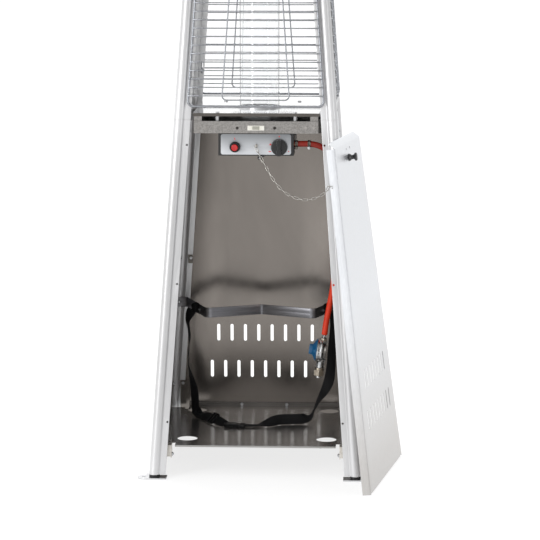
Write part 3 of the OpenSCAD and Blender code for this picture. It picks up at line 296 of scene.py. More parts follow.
def lit_and_shaded_faces_finish(name, top, side, top_rough, side_rough, stretch=(0.03, 1, 1), front=None, rolled=0.0, mottled=0.0):
    """Plate steel with light and shade painted by face: the upper face and the folded sides take different colours, lit
    and shaded copies of one sheet; the front fold may take its own lighter colour, painted light.
    """
    m = Nodes(name)
    g = m.noise(m.space(stretch), 520.0, 4.0, 0.6)
    cloud = m.noise(m.space(), 7.0, 4.0, 0.55, 0.5)
    smear = m.noise(m.space((0.4, 1, 1)), 24.0, 5.0, 0.65)
    nrm = m.split(m.coord.outputs["Normal"])
    up = m.span(nrm[2], 0.0, 1.0, 0.35, 0.6)
    a = m.ramp(cloud, [(0.25, tuple(c * 0.82 for c in top)), (0.75, tuple(min(1.0, c * 1.12) for c in top))])
    b = m.ramp(cloud, [(0.25, tuple(c * 0.8 for c in side)), (0.75, tuple(min(1.0, c * 1.15) for c in side))])
    # painted light: the front fold gets a lighter colour of its own
    if front is not None:
        fore = m.math("MULTIPLY", m.span(nrm[1], 1.0, 0.0, -0.8, -0.5), m.span(m.split(m.coord.outputs["Object"])[1], 1.0, 0.0, -0.02, 0.0))
        b = m.mix(fore, b, front)
    if rolled:
        along = m.add("ShaderNodeCombineXYZ")
        along.inputs[1].default_value = 1.0
        m.link(along.outputs[0], m.bsdf.inputs["Tangent"])
        m.bsdf.inputs["Anisotropic"].default_value = rolled
    # painted light and shade: each face takes the lit or shaded colour for the way it faces
    base = m.mix(up, b, a)
    base = m.mix(1.0, base, m.ramp(g, [(0.2, (0.92, 0.92, 0.92)), (0.8, (1, 1, 1))]), "MULTIPLY")
    if mottled:
        grit = m.noise(m.space(), 330.0, 2.0, 0.5)
        base = m.mix(1.0, base, m.ramp(grit, [(0.35, (1 - mottled, 1 - mottled, 1 - mottled)), (0.65, (1, 1, 1))]), "MULTIPLY")
    r = m.math("ADD", m.span(up, side_rough, top_rough), m.span(smear, -0.02, 0.03, 0.3, 0.7))
    return m.done(base, r, m.bump(g, 0.1, 0.00005, m.soft_edges(0.0004)), 1.0)


def webbing_finish():
    """Black woven polypropylene: diagonal ribs across, fine ribs along its length."""
    m = Nodes("webbing_black")
    uv = m.split(m.coord.outputs["UV"])
    u, v = uv[0], uv[1]
    a = m.math("SINE", m.math("MULTIPLY", m.math("ADD", u, m.math("MULTIPLY", m.math("ABSOLUTE", m.math("SUBTRACT", v, 0.5)), 0.012)), 2600.0))
    rib = m.math("SINE", m.math("MULTIPLY", v, 75.0))
    weave = m.math("MULTIPLY", m.math("ADD", m.math("ABSOLUTE", a), m.math("ABSOLUTE", rib)), 0.5)
    fuzz = m.noise(m.space(), 1500.0, 3.0, 0.6)
    wear = m.noise(m.space(), 30.0, 4.0, 0.6)
    h = m.math("ADD", weave, m.math("MULTIPLY", fuzz, 0.4))
    base = m.ramp(h, [(0.2, (0.002, 0.002, 0.0025)), (0.9, (0.010, 0.010, 0.011))])
    base = m.mix(m.span(wear, 0.0, 0.2, 0.5, 0.8), base, (0.012, 0.012, 0.0125))
    r = m.span(h, 0.85, 0.6)
    n = m.bump(h, 0.55, 0.0004)
    return m.done(base, r, n, 0.0, Sheen_Weight=0.03, Sheen_Roughness=0.45, Specular_IOR_Level=0.15)


def rubber_finish():
    """Orange-red gas hose: smooth extruded skin, faint printed-on cloth pattern, dust in streaks along it, and painted
    shade darkening its upper end under the deck.
    """
    m = Nodes("hose_rubber_orange")
    uv = m.split(m.coord.outputs["UV"])
    cross_a = m.math("SINE", m.math("ADD", m.math("MULTIPLY", uv[0], 1500.0), m.math("MULTIPLY", uv[1], 50.3)))
    cross_b = m.math("SINE", m.math("SUBTRACT", m.math("MULTIPLY", uv[0], 1500.0), m.math("MULTIPLY", uv[1], 50.3)))
    cloth = m.math("MULTIPLY", m.math("ADD", m.math("ABSOLUTE", cross_a), m.math("ABSOLUTE", cross_b)), 0.5)
    dust = m.noise(m.space(), 35.0, 5.0, 0.65)
    base = m.ramp(m.noise(m.space(), 18.0, 3.0), [(0.3, (0.60, 0.032, 0.009)), (0.7, (0.74, 0.048, 0.013))])
    base = m.mix(m.span(dust, 0.0, 0.3, 0.55, 0.8), base, (0.72, 0.14, 0.07))
    # painted shade: the hose turns dark toward its upper end, in the shade under the deck
    base = m.mix(m.span(m.split(m.coord.outputs["Object"])[2], 0.0, 0.85, 0.70, 0.765), base, (0.17, 0.008, 0.004))
    r = m.math("ADD", m.span(dust, 0.32, 0.5), m.math("MULTIPLY", cloth, 0.05))
    n = m.bump(m.math("ADD", cloth, m.math("MULTIPLY", dust, 0.5)), 0.18, 0.0003)
    return m.done(base, r, n, 0.0, Specular_IOR_Level=0.3, Coat_Weight=0.06, Coat_Roughness=0.25)


def glass_finish():
    m = Nodes("glass_tube_clear")
    cloud = m.noise(m.space((1, 1, 0.2)), 14.0, 3.0)
    base = m.ramp(cloud, [(0.2, (0.955, 0.965, 0.97)), (0.8, (0.985, 0.99, 0.99))])
    r = m.span(m.noise(m.space((1, 1, 0.05)), 90.0, 3.0), 0.0, 0.03)
    n = m.bump(cloud, 0.03, 0.0006)
    return m.done(base, r, n, 0.0, Transmission_Weight=1.0, IOR=1.47)


def heat_finish():
    """Stainless burner screen with straw and blue temper colours toward its lower edge."""
    m = Nodes("heat_tinted_steel")
    z = m.split(m.coord.outputs["Object"])[2]
    cloud = m.noise(m.space((1, 1, 0.4)), 18.0, 5.0, 0.6, 0.8)
    t = m.math("ADD", m.span(z, 0.0, 1.0, 2.086, 2.16), m.span(cloud, -0.25, 0.25))
    base = m.ramp(t, [(0.0, (0.30, 0.27, 0.33)), (0.25, (0.38, 0.30, 0.22)), (0.5, (0.46, 0.42, 0.36)), (1.0, (0.50, 0.50, 0.50))])
    r = m.span(cloud, 0.28, 0.45)
    return m.done(base, r, m.bump(m.noise(m.space((1, 1, 0.05)), 700.0, 3.0), 0.12, 0.00006, m.soft_edges(0.0003)), 1.0)


def door_finish():
    """Brushed steel door: grain along its height; painted reflection makes it bluish at the top and warmer and duller
    toward the floor.
    """
    m = Nodes("door_brushed_steel")
    g = m.noise(m.space((1, 1, 0.015)), 800.0, 4.0, 0.6)
    cloud = m.noise(m.space(), 3.0, 3.0, 0.5)
    z = m.split(m.coord.outputs["Object"])[2]
    painted_sky_reflection = m.ramp(g, [(0.3, (0.66, 0.675, 0.70)), (0.7, (0.76, 0.775, 0.80))])
    low = m.ramp(g, [(0.3, (0.49, 0.475, 0.46)), (0.7, (0.57, 0.555, 0.54))])
    # painted reflection: the bluish upper colour stands for the bright room, the warm grey lower one for the floor,
    # blended by height
    base = m.mix(m.span(z, 1.0, 0.0, 0.05, 0.42), painted_sky_reflection, low)
    base = m.mix(1.0, base, m.ramp(cloud, [(0.3, (0.95, 0.95, 0.95)), (0.7, (1, 1, 1))]), "MULTIPLY")
    r = m.math("ADD", m.span(g, 0.26, 0.38), m.span(cloud, -0.04, 0.04))
    return m.done(base, r, m.bump(g, 0.1, 0.00004), 1.0)


MAT = {
    "leg_paint": metal_finish("leg_satin_silver", (0.53, 0.53, 0.535), (0.60, 0.60, 0.605), (0.30, 0.42), (1, 1, 0.02), 420.0, 0.12, 0.00005,
                              metal=0.55, blotch=0.05, blotch_scale=5.0, edges=(0.70, 0.70, 0.71), soft=0.0),
    "door_steel": door_finish(),
    # panels: the first colour is the painted shade of the inner faces, the second the sheet's own colour
    "panel_left": panel_finish("panel_steel_left", (0.27, 0.245, 0.222), (0.62, 0.635, 0.655), 0, -1, (0.09, 0.15)),
    "panel_right": panel_finish("panel_steel_right", (0.27, 0.245, 0.222), (0.62, 0.635, 0.655), 0, 1, (0.09, 0.15)),
    "panel_back": panel_finish("panel_steel_back", (0.215, 0.195, 0.178), (0.62, 0.635, 0.655), 1, 1, (0.19, 0.26)),
    "galvanised": galvanised_finish("galvanised_spangle", (0.28, 0.272, 0.265), (0.40, 0.39, 0.38)),
    "bracket": bracket_finish(),
    # tray: the dark upper face and sides are painted shade under the deck; the paler front fold is its lit colour
    "tray_zinc": lit_and_shaded_faces_finish("tray_zinc_sheet", (0.035, 0.034, 0.033), (0.10, 0.095, 0.09), 0.42, 0.34, (0.03, 1, 1), (0.36, 0.345, 0.33), 0.0, 0.3),
    # base plate: the darker folded sides are painted shade, the lighter front fold a painted highlight on the bend
    "dark_plate": lit_and_shaded_faces_finish("dark_polished_plate", (0.50, 0.485, 0.475), (0.17, 0.16, 0.15), 0.21, 0.3, (1, 0.03, 1), (0.36, 0.355, 0.345), 0.94),
    # deck: the darker folded sides are painted shade
    "deck_mirror": lit_and_shaded_faces_finish("deck_bright_steel", (0.82, 0.82, 0.82), (0.13, 0.12, 0.11), 0.07, 0.25),
    "black_metal": paint_finish("black_enamel", (0.004, 0.004, 0.0045), (0.010, 0.010, 0.011), (0.34, 0.5), edges=(0.05, 0.05, 0.05), Specular_IOR_Level=0.3),
    "black_plastic": paint_finish("black_moulded", (0.003, 0.003, 0.0035), (0.006, 0.006, 0.0065), (0.32, 0.46), 1100.0, 0.2, edges=(0.03, 0.03, 0.032), Specular_IOR_Level=0.25),
    "black_gloss": paint_finish("black_gloss_moulded", (0.004, 0.004, 0.005), (0.010, 0.010, 0.011), (0.10, 0.2), 500.0, 0.05, Coat_Weight=0.4),
    "fascia_paint": fascia_finish(),
    "tray_fastener": fastener_finish(),
    "knob_black": paint_finish("black_ribbed_moulded", (0.004, 0.004, 0.0045), (0.009, 0.009, 0.0095), (0.20, 0.32), 1100.0, 0.12, edges=(0.06, 0.06, 0.065), Specular_IOR_Level=0.5),
    "red_plastic": paint_finish("red_moulded", (0.42, 0.005, 0.006), (0.50, 0.009, 0.009), (0.18, 0.3), 600.0, 0.06, Coat_Weight=0.3),
    "red_print": paint_finish("red_print", (0.6, 0.02, 0.02), (0.7, 0.04, 0.03), (0.4, 0.5), soft=0.0),
    "cream": paint_finish("cream_moulded", (0.62, 0.60, 0.52), (0.74, 0.72, 0.64), (0.35, 0.5), edges=(0.85, 0.84, 0.8)),
    "olive": metal_finish("catch_strip_steel", (0.16, 0.165, 0.13), (0.24, 0.245, 0.2), (0.3, 0.45), (0.05, 1, 1), 500.0),
    "brass": metal_finish("valve_brass", (0.50, 0.36, 0.14), (0.62, 0.46, 0.20), (0.25, 0.4), (1, 1, 1), 180.0, blotch=0.25, blotch_scale=40.0, edges=(0.75, 0.6, 0.32)),
    "nut_brass": metal_finish("nut_dull_plated", (0.30, 0.26, 0.21), (0.44, 0.39, 0.32), (0.28, 0.42), (1, 1, 1), 260.0, blotch=0.3, blotch_scale=60.0, edges=(0.66, 0.62, 0.55)),
    "diecast": metal_finish("diecast_zinc", (0.48, 0.49, 0.50), (0.66, 0.67, 0.68), (0.16, 0.32), (1, 1, 1), 320.0, 0.25, 0.0001, blotch=0.25, blotch_scale=50.0, edges=(0.85, 0.85, 0.85)),
    "blue_plastic": paint_finish("blue_moulded", (0.003, 0.065, 0.165), (0.006, 0.10, 0.235), (0.25, 0.4), 800.0, 0.15, edges=(0.08, 0.25, 0.42), Coat_Weight=0.15),
    "hose_rubber": rubber_finish(),
    "webbing": webbing_finish(),
    "band_steel": metal_finish("band_gunmetal", (0.185, 0.185, 0.20), (0.25, 0.25, 0.265), (0.26, 0.38), (0.02, 0.02, 1), 700.0, 0.15, 0.00005,
                               metal=0.85, blotch=0.12, blotch_scale=9.0, edges=(0.4, 0.4, 0.42), soft=0.0),
    "zinc": metal_finish("zinc_plated", (0.46, 0.47, 0.49), (0.66, 0.67, 0.69), (0.22, 0.38), (1, 1, 1), 500.0, 0.15, 0.00006, blotch=0.3, blotch_scale=80.0, edges=(0.85, 0.85, 0.86)),
    "copper_zinc": metal_finish("yellow_zinc_plated", (0.44, 0.30, 0.20), (0.60, 0.46, 0.34), (0.25, 0.4), (1, 1, 1), 400.0, blotch=0.3, blotch_scale=80.0, edges=(0.75, 0.65, 0.55)),
    "wire_steel": metal_finish("guard_wire_bright", (0.27, 0.28, 0.30), (0.42, 0.43, 0.455), (0.16, 0.28), (1, 1, 1), 260.0, 0.12, 0.00005, blotch=0.18, blotch_scale=16.0, soft=0.0),
    "chain_nickel": metal_finish("chain_nickel", (0.50, 0.48, 0.44), (0.66, 0.64, 0.60), (0.16, 0.3), (1, 1, 1), 600.0, 0.1, 0.00004, blotch=0.3, blotch_scale=120.0, soft=0.0),
    "dark_zinc": metal_finish("clamp_dark_steel", (0.085, 0.075, 0.062), (0.165, 0.148, 0.125), (0.25, 0.4), (1, 1, 1), 400.0, blotch=0.3, blotch_scale=80.0, edges=(0.36, 0.34, 0.31)),
    "glass_clear": glass_finish(),
    "heat_steel": heat_finish(),
    "ceramic": paint_finish("ceramic_white", (0.62, 0.60, 0.56), (0.76, 0.75, 0.72), (0.2, 0.35), Coat_Weight=0.2),
    "roof_steel": metal_finish("roof_brushed_steel", (0.58, 0.59, 0.61), (0.70, 0.71, 0.73), (0.26, 0.4), (1, 0.04, 1), 700.0, 0.12, 0.00005, blotch=0.08, blotch_scale=7.0, edges=(0.85, 0.85, 0.85)),
}


def finish_node(name, key):
    for n in nodes[name].material_slots:
        n.material = MAT[key]
    if not nodes[name].material_slots:
        nodes[name].data.materials.append(MAT[key])


KEEP = {
    "leg_joiners": "zinc", "leg_plugs": "black_plastic", "anchor_plates": "zinc", "foot_bolts": "copper_zinc", "panel_screws": "zinc",
    "side_panel_left": "panel_left", "side_panel_right": "panel_right", "back_panel": "panel_back", "frame_brackets": "bracket",
    "base_plate": "dark_plate", "cabinet_bolts": "zinc", "door_strike_plate": "zinc", "door_fixings": "zinc", "top_plate": "deck_mirror",
    "support_tray": "tray_zinc", "tray_fasteners": "tray_fastener", "catch_body": "cream", "catch_strips": "olive", "control_box": "black_metal",
    "valve_stem": "brass", "gas_valve": "brass", "piezo_igniter": "ceramic", "tilt_switch": "black_plastic", "gas_pipe": "zinc",
    "pilot_burner": "heat_steel", "main_burner": "dark_zinc", "tube_seat_ring": "zinc", "glass_tube": "glass_clear",
    "top_frame": "galvanised", "flame_screen": "heat_steel", "cap_posts": "zinc", "chain_eyelet": "chain_nickel",
}
for node_name, key in KEEP.items():
    finish_node(node_name, key)

# ------------------------------------------------------------------ mesh helpers (millimetres in, metres out)
MM = 0.001


def T(x, y, z):
    return Matrix.Translation((x, y, z))


def RX(a):
    return Matrix.Rotation(math.radians(a), 4, "X")


def RY(a):
    return Matrix.Rotation(math.radians(a), 4, "Y")


def RZ(a):
    return Matrix.Rotation(math.radians(a), 4, "Z")


class Shape:
    """Vertices and faces gathered in millimetres, with optional UVs by vertex."""

    def __init__(self):
        self.v, self.f, self.uv = [], [], []

    def add(self, verts, faces, m=None, uv=None):
        k = len(self.v)
        self.v += [tuple(m @ Vector(p)) if m is not None else tuple(p) for p in verts]
        self.uv += uv if uv is not None else [(0.0, 0.0)] * len(verts)
        self.f += [tuple(i + k for i in f) for f in faces]
        return self


def make(name, shape, mat, body="frame", replaces=(), sharp=38.0, fix=True):
    me = bpy.data.meshes.new(name)
    me.from_pydata([(x * MM, y * MM, z * MM) for x, y, z in shape.v], [], shape.f)
    if any(u != (0.0, 0.0) for u in shape.uv):
        layer = me.uv_layers.new(name="along")
        for loop in me.loops:
            layer.data[loop.index].uv = shape.uv[loop.vertex_index]
    me.validate()
    if fix:
        bm = bmesh.new()
        bm.from_mesh(me)
        bmesh.ops.recalc_face_normals(bm, faces=bm.faces)
        bm.to_mesh(me)
        bm.free()
    me.shade_smooth()
    me.set_sharp_from_angle(angle=math.radians(sharp))
    me.materials.append(mat)
    o = bpy.data.objects.new(name, me)
    scene.collection.objects.link(o)
    if body:
        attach(o, body)
        if replaces:
            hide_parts(*replaces)
    return o


def settle(o, sharp=38.0):
    """Applies the modifiers to the mesh."""
    dg = bpy.context.evaluated_depsgraph_get()
    dg.update()
    me = bpy.data.meshes.new_from_object(o.evaluated_get(dg))
    o.modifiers.clear()
    old = o.data
    o.data = me
    bpy.data.meshes.remove(old)
    me.shade_smooth()
    me.set_sharp_from_angle(angle=math.radians(sharp))
    return o


def cut(o, cutter_shape, solver="EXACT"):
    c = make(o.name + "_cutter", cutter_shape, MAT["zinc"], body=None)
    mod = o.modifiers.new("cut", "BOOLEAN")
    mod.operation, mod.solver, mod.object = "DIFFERENCE", solver, c
    settle(o)
    me = c.data
    bpy.data.objects.remove(c)
    bpy.data.meshes.remove(me)
    return o


def bevelled(o, width, segments=2, angle=35.0):
    mod = o.modifiers.new("edges", "BEVEL")
    mod.width, mod.segments, mod.limit_method, mod.angle_limit = width * MM, segments, "ANGLE", math.radians(angle)
    mod.harden_normals = False
    return settle(o)


def circle(r, n, cx=0.0, cy=0.0, a0=0.0):
    return [(cx + r * math.cos(a0 + 2 * math.pi * i / n), cy + r * math.sin(a0 + 2 * math.pi * i / n)) for i in range(n)]


def rounded(points, radii, n=6):
    """Closed 2-D outline with its corners rounded."""
    out, m = [], len(points)
    for i, p in enumerate(points):
        r = radii[i] if isinstance(radii, (list, tuple)) else radii
        a, b, c = Vector(points[i - 1]), Vector(p), Vector(points[(i + 1) % m])
        u, v = (a - b), (c - b)
        if r <= 0 or u.length < 1e-9 or v.length < 1e-9:
            out.append((b.x, b.y))
            continue
        u.normalize(), v.normalize()
        ang = math.acos(max(-1, min(1, u.dot(v))))
        d = min(r / math.tan(ang / 2), (a - b).length * 0.49, (c - b).length * 0.49)
        rr = d * math.tan(ang / 2)
        mid = (u + v).normalized() * (rr / math.sin(ang / 2)) + b
        s, e = b + u * d - mid, b + v * d - mid
        a0 = math.atan2(s.y, s.x)
        da = math.atan2(e.y, e.x) - a0
        while da > math.pi:
            da -= 2 * math.pi
        while da < -math.pi:
            da += 2 * math.pi
        out += [(mid.x + rr * math.cos(a0 + da * k / n), mid.y + rr * math.sin(a0 + da * k / n)) for k in range(n + 1)]
    return out


def prism(outline, z0, z1, m=None, s=None):
    """Straight prism on a closed outline along local z."""
    s = s or Shape()
    n = len(outline)
    v = [(x, y, z0) for x, y in outline] + [(x, y, z1) for x, y in outline]
    f = [(i, (i + 1) % n, n + (i + 1) % n, n + i) for i in range(n)] + [tuple(range(n - 1, -1, -1)), tuple(range(n, 2 * n))]
    return s.add(v, f, m)


def block(a, b, m=None, s=None):
    return prism([(a[0], a[1]), (b[0], a[1]), (b[0], b[1]), (a[0], b[1])], a[2], b[2], m, s)


def lathe(profile, n, m=None, s=None, wave=None):
    """Turned shape round local z from (radius, z) points; radius 0 closes it. wave(angle, r, z) may change the radius."""
    s = s or Shape()
    v, rows = [], []
    for r, z in profile:
        if r < 1e-6:
            rows.append([len(v)])
            v.append((0.0, 0.0, z))
        else:
            rows.append(list(range(len(v), len(v) + n)))
            for i in range(n):
                a = 2 * math.pi * i / n
                rr = wave(a, r, z) if wave else r
                v.append((rr * math.cos(a), rr * math.sin(a), z))
    f = []
    for a, b in zip(rows, rows[1:]):
        for i in range(n):
            j = (i + 1) % n
            if len(a) == 1 and len(b) == 1:
                continue
            if len(a) == 1:
                f.append((a[0], b[j], b[i]))
            elif len(b) == 1:
                f.append((a[i], a[j], b[0]))
            else:
                f.append((a[i], a[j], b[j], b[i]))
    if len(rows[0]) > 1 and len(rows[-1]) > 1 and profile[0] == profile[-1]:
        first, last = rows[0], rows[-1]
        swap = {q: p for p, q in zip(first, last)}
        f = [tuple(swap.get(i, i) for i in q) for q in f]
        v = v[: last[0]]
    return s.add(v, f, m)


def frames_along(points, closed=False, up=None):
    """Tangents and turning-free side vectors along a line."""
    p = [Vector(q) for q in points]
    n = len(p)
    t = []
    for i in range(n):
        a = p[(i - 1) % n] if closed or i > 0 else p[i]
        b = p[(i + 1) % n] if closed or i < n - 1 else p[i]
        t.append((b - a).normalized())
    ref = Vector(up) if up else (Vector((0, 0, 1)) if abs(t[0].z) < 0.9 else Vector((0, 1, 0)))
    side = (ref - t[0] * ref.dot(t[0])).normalized()
    sides = [side]
    for i in range(1, n):
        side = sides[-1]
        axis = t[i - 1].cross(t[i])
        if axis.length > 1e-9:
            ang = math.atan2(axis.length, t[i - 1].dot(t[i]))
            side = Matrix.Rotation(ang, 3, axis.normalized()) @ side
        side = (side - t[i] * side.dot(t[i])).normalized()
        sides.append(side)
    if closed:
        side = sides[-1]
        axis = t[-1].cross(t[0])
        if axis.length > 1e-9:
            side = Matrix.Rotation(math.atan2(axis.length, t[-1].dot(t[0])), 3, axis.normalized()) @ side
        ang = math.atan2(side.cross(sides[0]).dot(t[0]), side.dot(sides[0]))
        sides = [Matrix.Rotation(ang * i / n, 3, t[i]) @ sides[i] for i in range(n)]
    return p, t, sides


def tube(points, r, n=12, closed=False, s=None, caps=True, t0=None, t1=None, m=None):
    """Round wire or hose along a line. r may be a number or one for each point. Ends get a small dome."""
    s = s or Shape()
    if m is not None:
        points = [m @ Vector(q) for q in points]
    p, t, sides = frames_along(points, closed)
    if t0:
        t[0] = Vector(t0).normalized()
    if t1:
        t[-1] = Vector(t1).normalized()
    rs = [r] * len(p) if isinstance(r, (int, float)) else list(r)
    rings, uv, along = [], [], 0.0
    for i, q in enumerate(p):
        if i:
            along += (q - p[i - 1]).length * MM
        a = (sides[i] - t[i] * sides[i].dot(t[i])).normalized()
        b = t[i].cross(a)
        rings.append([q + a * rs[i] * math.cos(2 * math.pi * k / n) + b * rs[i] * math.sin(2 * math.pi * k / n) for k in range(n)])
        uv.append([(along + 1e-6, k / n) for k in range(n)])
    if not closed and caps:
        for end in (0, -1):
            q, d = p[end], (-t[0] if end == 0 else t[-1])
            mid = [q + (x - q) * 0.72 + d * rs[end] * 0.28 for x in rings[end]]
            small = [q + (x - q) * 0.3 + d * rs[end] * 0.42 for x in rings[end]]
            if end == 0:
                rings = [small, mid] + rings
                uv = [uv[0], uv[0]] + uv
            else:
                rings += [mid, small]
                uv += [uv[-1], uv[-1]]
    v = [tuple(x) for ring in rings for x in ring]
    f, m_ = [], len(rings)
    for i in range(m_ if closed else m_ - 1):
        j = (i + 1) % m_
        for k in range(n):
            q = (k + 1) % n
            f.append((i * n + k, i * n + q, j * n + q, j * n + k))
    if not closed:
        f += [tuple(range(n - 1, -1, -1)), tuple(range((m_ - 1) * n, m_ * n))]
    return s.add(v, f, None, [x for row in uv for x in row])


def catmull(pts, k):
    out, n = [], len(pts)
    for i in range(n - 1):
        p0, p1, p2, p3 = (Vector(pts[max(i - 1, 0)]), Vector(pts[i]), Vector(pts[i + 1]), Vector(pts[min(i + 2, n - 1)]))
        for j in range(k):
            t = j / k
            out.append(0.5 * ((2 * p1) + (p2 - p0) * t + (2 * p0 - 5 * p1 + 4 * p2 - p3) * t * t + (3 * p1 - p0 - 3 * p2 + p3) * t * t * t))
    out.append(Vector(pts[-1]))
    return out


def evenly(pts, step):
    """Points a fixed distance apart along a line."""
    pts = [Vector(p) for p in pts]
    out, need, i, at = [pts[0]], step, 0, pts[0]
    while i < len(pts) - 1:
        seg = pts[i + 1] - at
        if seg.length >= need:
            at = at + seg.normalized() * need
            out.append(at)
            need = step
        else:
            need -= seg.length
            at = pts[i + 1]
            i += 1
    return out


def bent(points, radius, n=5, closed=False):
    """3-D wire line with its corners bent to a radius."""
    p = [Vector(q) for q in points]
    out, m = [], len(p)
    for i, b in enumerate(p):
        if not closed and i in (0, m - 1):
            out.append(b)
            continue
        r = radius[i] if isinstance(radius, (list, tuple)) else radius
        a, c = p[i - 1], p[(i + 1) % m]
        u, v = (a - b).normalized(), (c - b).normalized()
        ang = math.acos(max(-1, min(1, u.dot(v))))
        if r <= 0 or ang > math.pi - 1e-3:
            out.append(b)
            continue
        d = min(r / math.tan(ang / 2), (a - b).length * 0.48, (c - b).length * 0.48)
        rr = d * math.tan(ang / 2)
        mid = b + (u + v).normalized() * (rr / math.sin(ang / 2))
        s, e = b + u * d - mid, b + v * d - mid
        total = math.acos(max(-1, min(1, s.normalized().dot(e.normalized()))))
        axis = s.cross(e).normalized()
        out += [mid + Matrix.Rotation(total * k / n, 3, axis) @ s for k in range(n + 1)]
    return out


# ------------------------------------------------------------------ the heater's own geometry, as in the construction model
W0, TOPW, LEG_TOP, SPLIT = 250.0, 206.0, 2085.0, 842.4
SL = (500.0 - TOPW) / 2 / LEG_TOP
TH = math.atan(SL)
THD = math.degrees(TH)
N3 = math.sqrt(1 + 2 * SL * SL)
EDGE_A, EDGE_B = -math.degrees(math.asin(SL / N3)), math.degrees(math.atan(SL))
SKEW = math.asin(math.sin(math.radians(EDGE_B)) * math.sin(TH))
HOLE_Z = (134.5, 459.5, 784.0)
BAR_Z, PITCH_W = 937.0, 19.5


def hw(z):
    return W0 - SL * z


def uz(z, y=0.0):
    return (z + y * math.sin(TH)) / math.cos(TH)


def face(k):
    return RZ(90 * k) @ T(0, -W0, 0) @ RX(-THD)


def on_face(k, h, z, y):
    return face(k) @ T(h, y, uz(z, y))


INWARD = RX(-90)

# ------------------------------------------------------------------ cords first: hose, chain, strap
HOSE = [
    (88.8, -150, 783.7), (107, -150, 783.7), (126, -150, 783.4), (147, -150, 779), (165.5, -149, 767.3), (178, -147, 749.5), (183, -144, 727),
    (185, -137, 690), (186.5, -127, 640), (187, -113, 580), (186, -95, 520), (183, -79, 470), (178, -67, 425), (170, -61, 382),
    (163, -60, 345), (160.3, -60, 325.4), (158.99, -60, 315.46)]
CHAIN = [
    (2, -181.5, 773.4), (6, -184, 766), (13, -190, 754), (24, -199, 736), (35, -208, 717), (47, -217, 701), (59, -227, 688),
    (71, -236, 679), (84, -246, 672.5), (97, -256, 669), (110, -266, 667), (122, -276, 667.5), (134, -285.5, 670.5), (145, -294, 675),
    (156, -302.5, 681.5), (166, -311, 689.5), (172.5, -318, 696), (177, -327, 703.5)]
STRAP = [
    ((-154, 86, 348), (0, 0, 1)), ((-157, 93, 350), (0.1, 0, 1)), ((-166, 98, 351), (0.4, 0.1, 1)), ((-177, 101, 338), (0.9, -0.4, 0.5)),
    ((-184, 103, 318), (0.5, -0.9, 0)), ((-182, 105, 299), (0.3, -0.95, 0.1)), ((-180, 106, 279), (0.3, -0.95, 0)), ((-182, 107, 244), (0, -1, 0)),
    ((-183, 108, 210), (0.1, -1, 0)), ((-178, 109, 182), (0.4, -0.9, 0)), ((-170, 109, 150), (0.75, -0.66, 0)), ((-167, 109, 120), (0.8, -0.6, 0)),
    ((-166, 108, 96), (0.8, -0.6, 0)), ((-157, 98, 82), (0.8, 0.55, 0.2)), ((-140, 62, 85.2), (0.64, 0.44, 0.62)), ((-116, 24, 87.6), (0.62, 0.45, 0.64)),
    ((-90, -6, 82.5), (0.5, 0.7, 0.42)), ((-74, -13, 80), (0.4, 0.92, 0)), ((-59, -16.5, 80), (0.05, 1, 0)), ((-22, -17, 79.6), (-0.1, 1, 0)),
    ((0, -12, 79.6), (-0.26, 0.96, 0)), ((20, -4, 83.5), (-0.4, 0.7, 0.5)), ((38, 6, 87.5), (-0.3, 0.3, 0.9)), ((56, 14, 88.8), (-0.1, 0.15, 1)),
    ((98, 19, 89.2), (0, 0.1, 1)), ((113, 27, 91), (-0.2, 0.6, 0.75)), ((124, 42, 96), (-0.3, 0.85, -0.25)), ((132, 56, 106), (-0.25, 0.9, -0.3)),
    ((142, 65, 126), (-0.4, 0.9, -0.1)), ((156, 71, 148), (-0.75, 0.6, 0.15)), ((167, 79, 173), (-0.95, 0.1, 0.3)), ((172, 86, 208), (-0.9, -0.4, 0.1)),
    ((174, 93, 255), (-0.75, -0.66, 0)), ((177, 98, 310), (-0.6, -0.8, 0)), ((176, 103, 335), (-0.6, -0.5, 0.5)), ((168, 104, 350), (-0.3, -0.1, 0.9)),
    ((160, 99, 352), (-0.05, 0, 1)), ((157, 95, 349), (0, 0, 1)), ((155, 90, 348), (0, 0, 1))]
TILT = math.radians(7.5)

hose_line = catmull(HOSE, 12)
hose = make("gas_hose_tube", tube(hose_line, 7.0, 32, t0=(1, 0, 0), t1=(-math.sin(TILT), 0, -math.cos(TILT))), MAT["hose_rubber"],
            replaces=("gas_hose",), sharp=60)

# chain: long oval wire links, each turned a quarter from the last, hooked into a split ring at the door
chain_line = catmull(CHAIN, 16)
LINK, LINK_W, LINK_R = 13.65, 2.5, 0.75
chain_pts = evenly(chain_line[1:], LINK)[:21]
chain_shape = Shape()
TOWARD = Vector((-0.05, 0.99, -0.15))
_, ct, cs = frames_along(chain_pts)
for i, q in enumerate(chain_pts):
    t = ct[i]
    flat = t.cross(TOWARD).normalized()
    side = Matrix.Rotation(math.radians((90 if i % 2 else 0) + 11 * math.sin(2.3 * i)), 3, t) @ flat
    if i == len(chain_pts) - 1:
        hook = Vector((173.3, -324.8, 704.5))
        t = (hook - chain_pts[i - 1]).normalized()
        q = hook - t * 6.35
    half = LINK / 2 + LINK_R * 0.92
    ring = []
    for k in range(20):
        ang = 2 * math.pi * (k + 0.5) / 20
        lx = math.copysign(half - LINK_W + LINK_W * abs(math.cos(ang)), math.cos(ang))
        ring.append(q + t * lx + side * LINK_W * math.sin(ang))
    tube(ring, LINK_R, 10, closed=True, s=chain_shape)
chain = make("keeper_chain_links", chain_shape, MAT["chain_nickel"], replaces=("chain",), sharp=60)


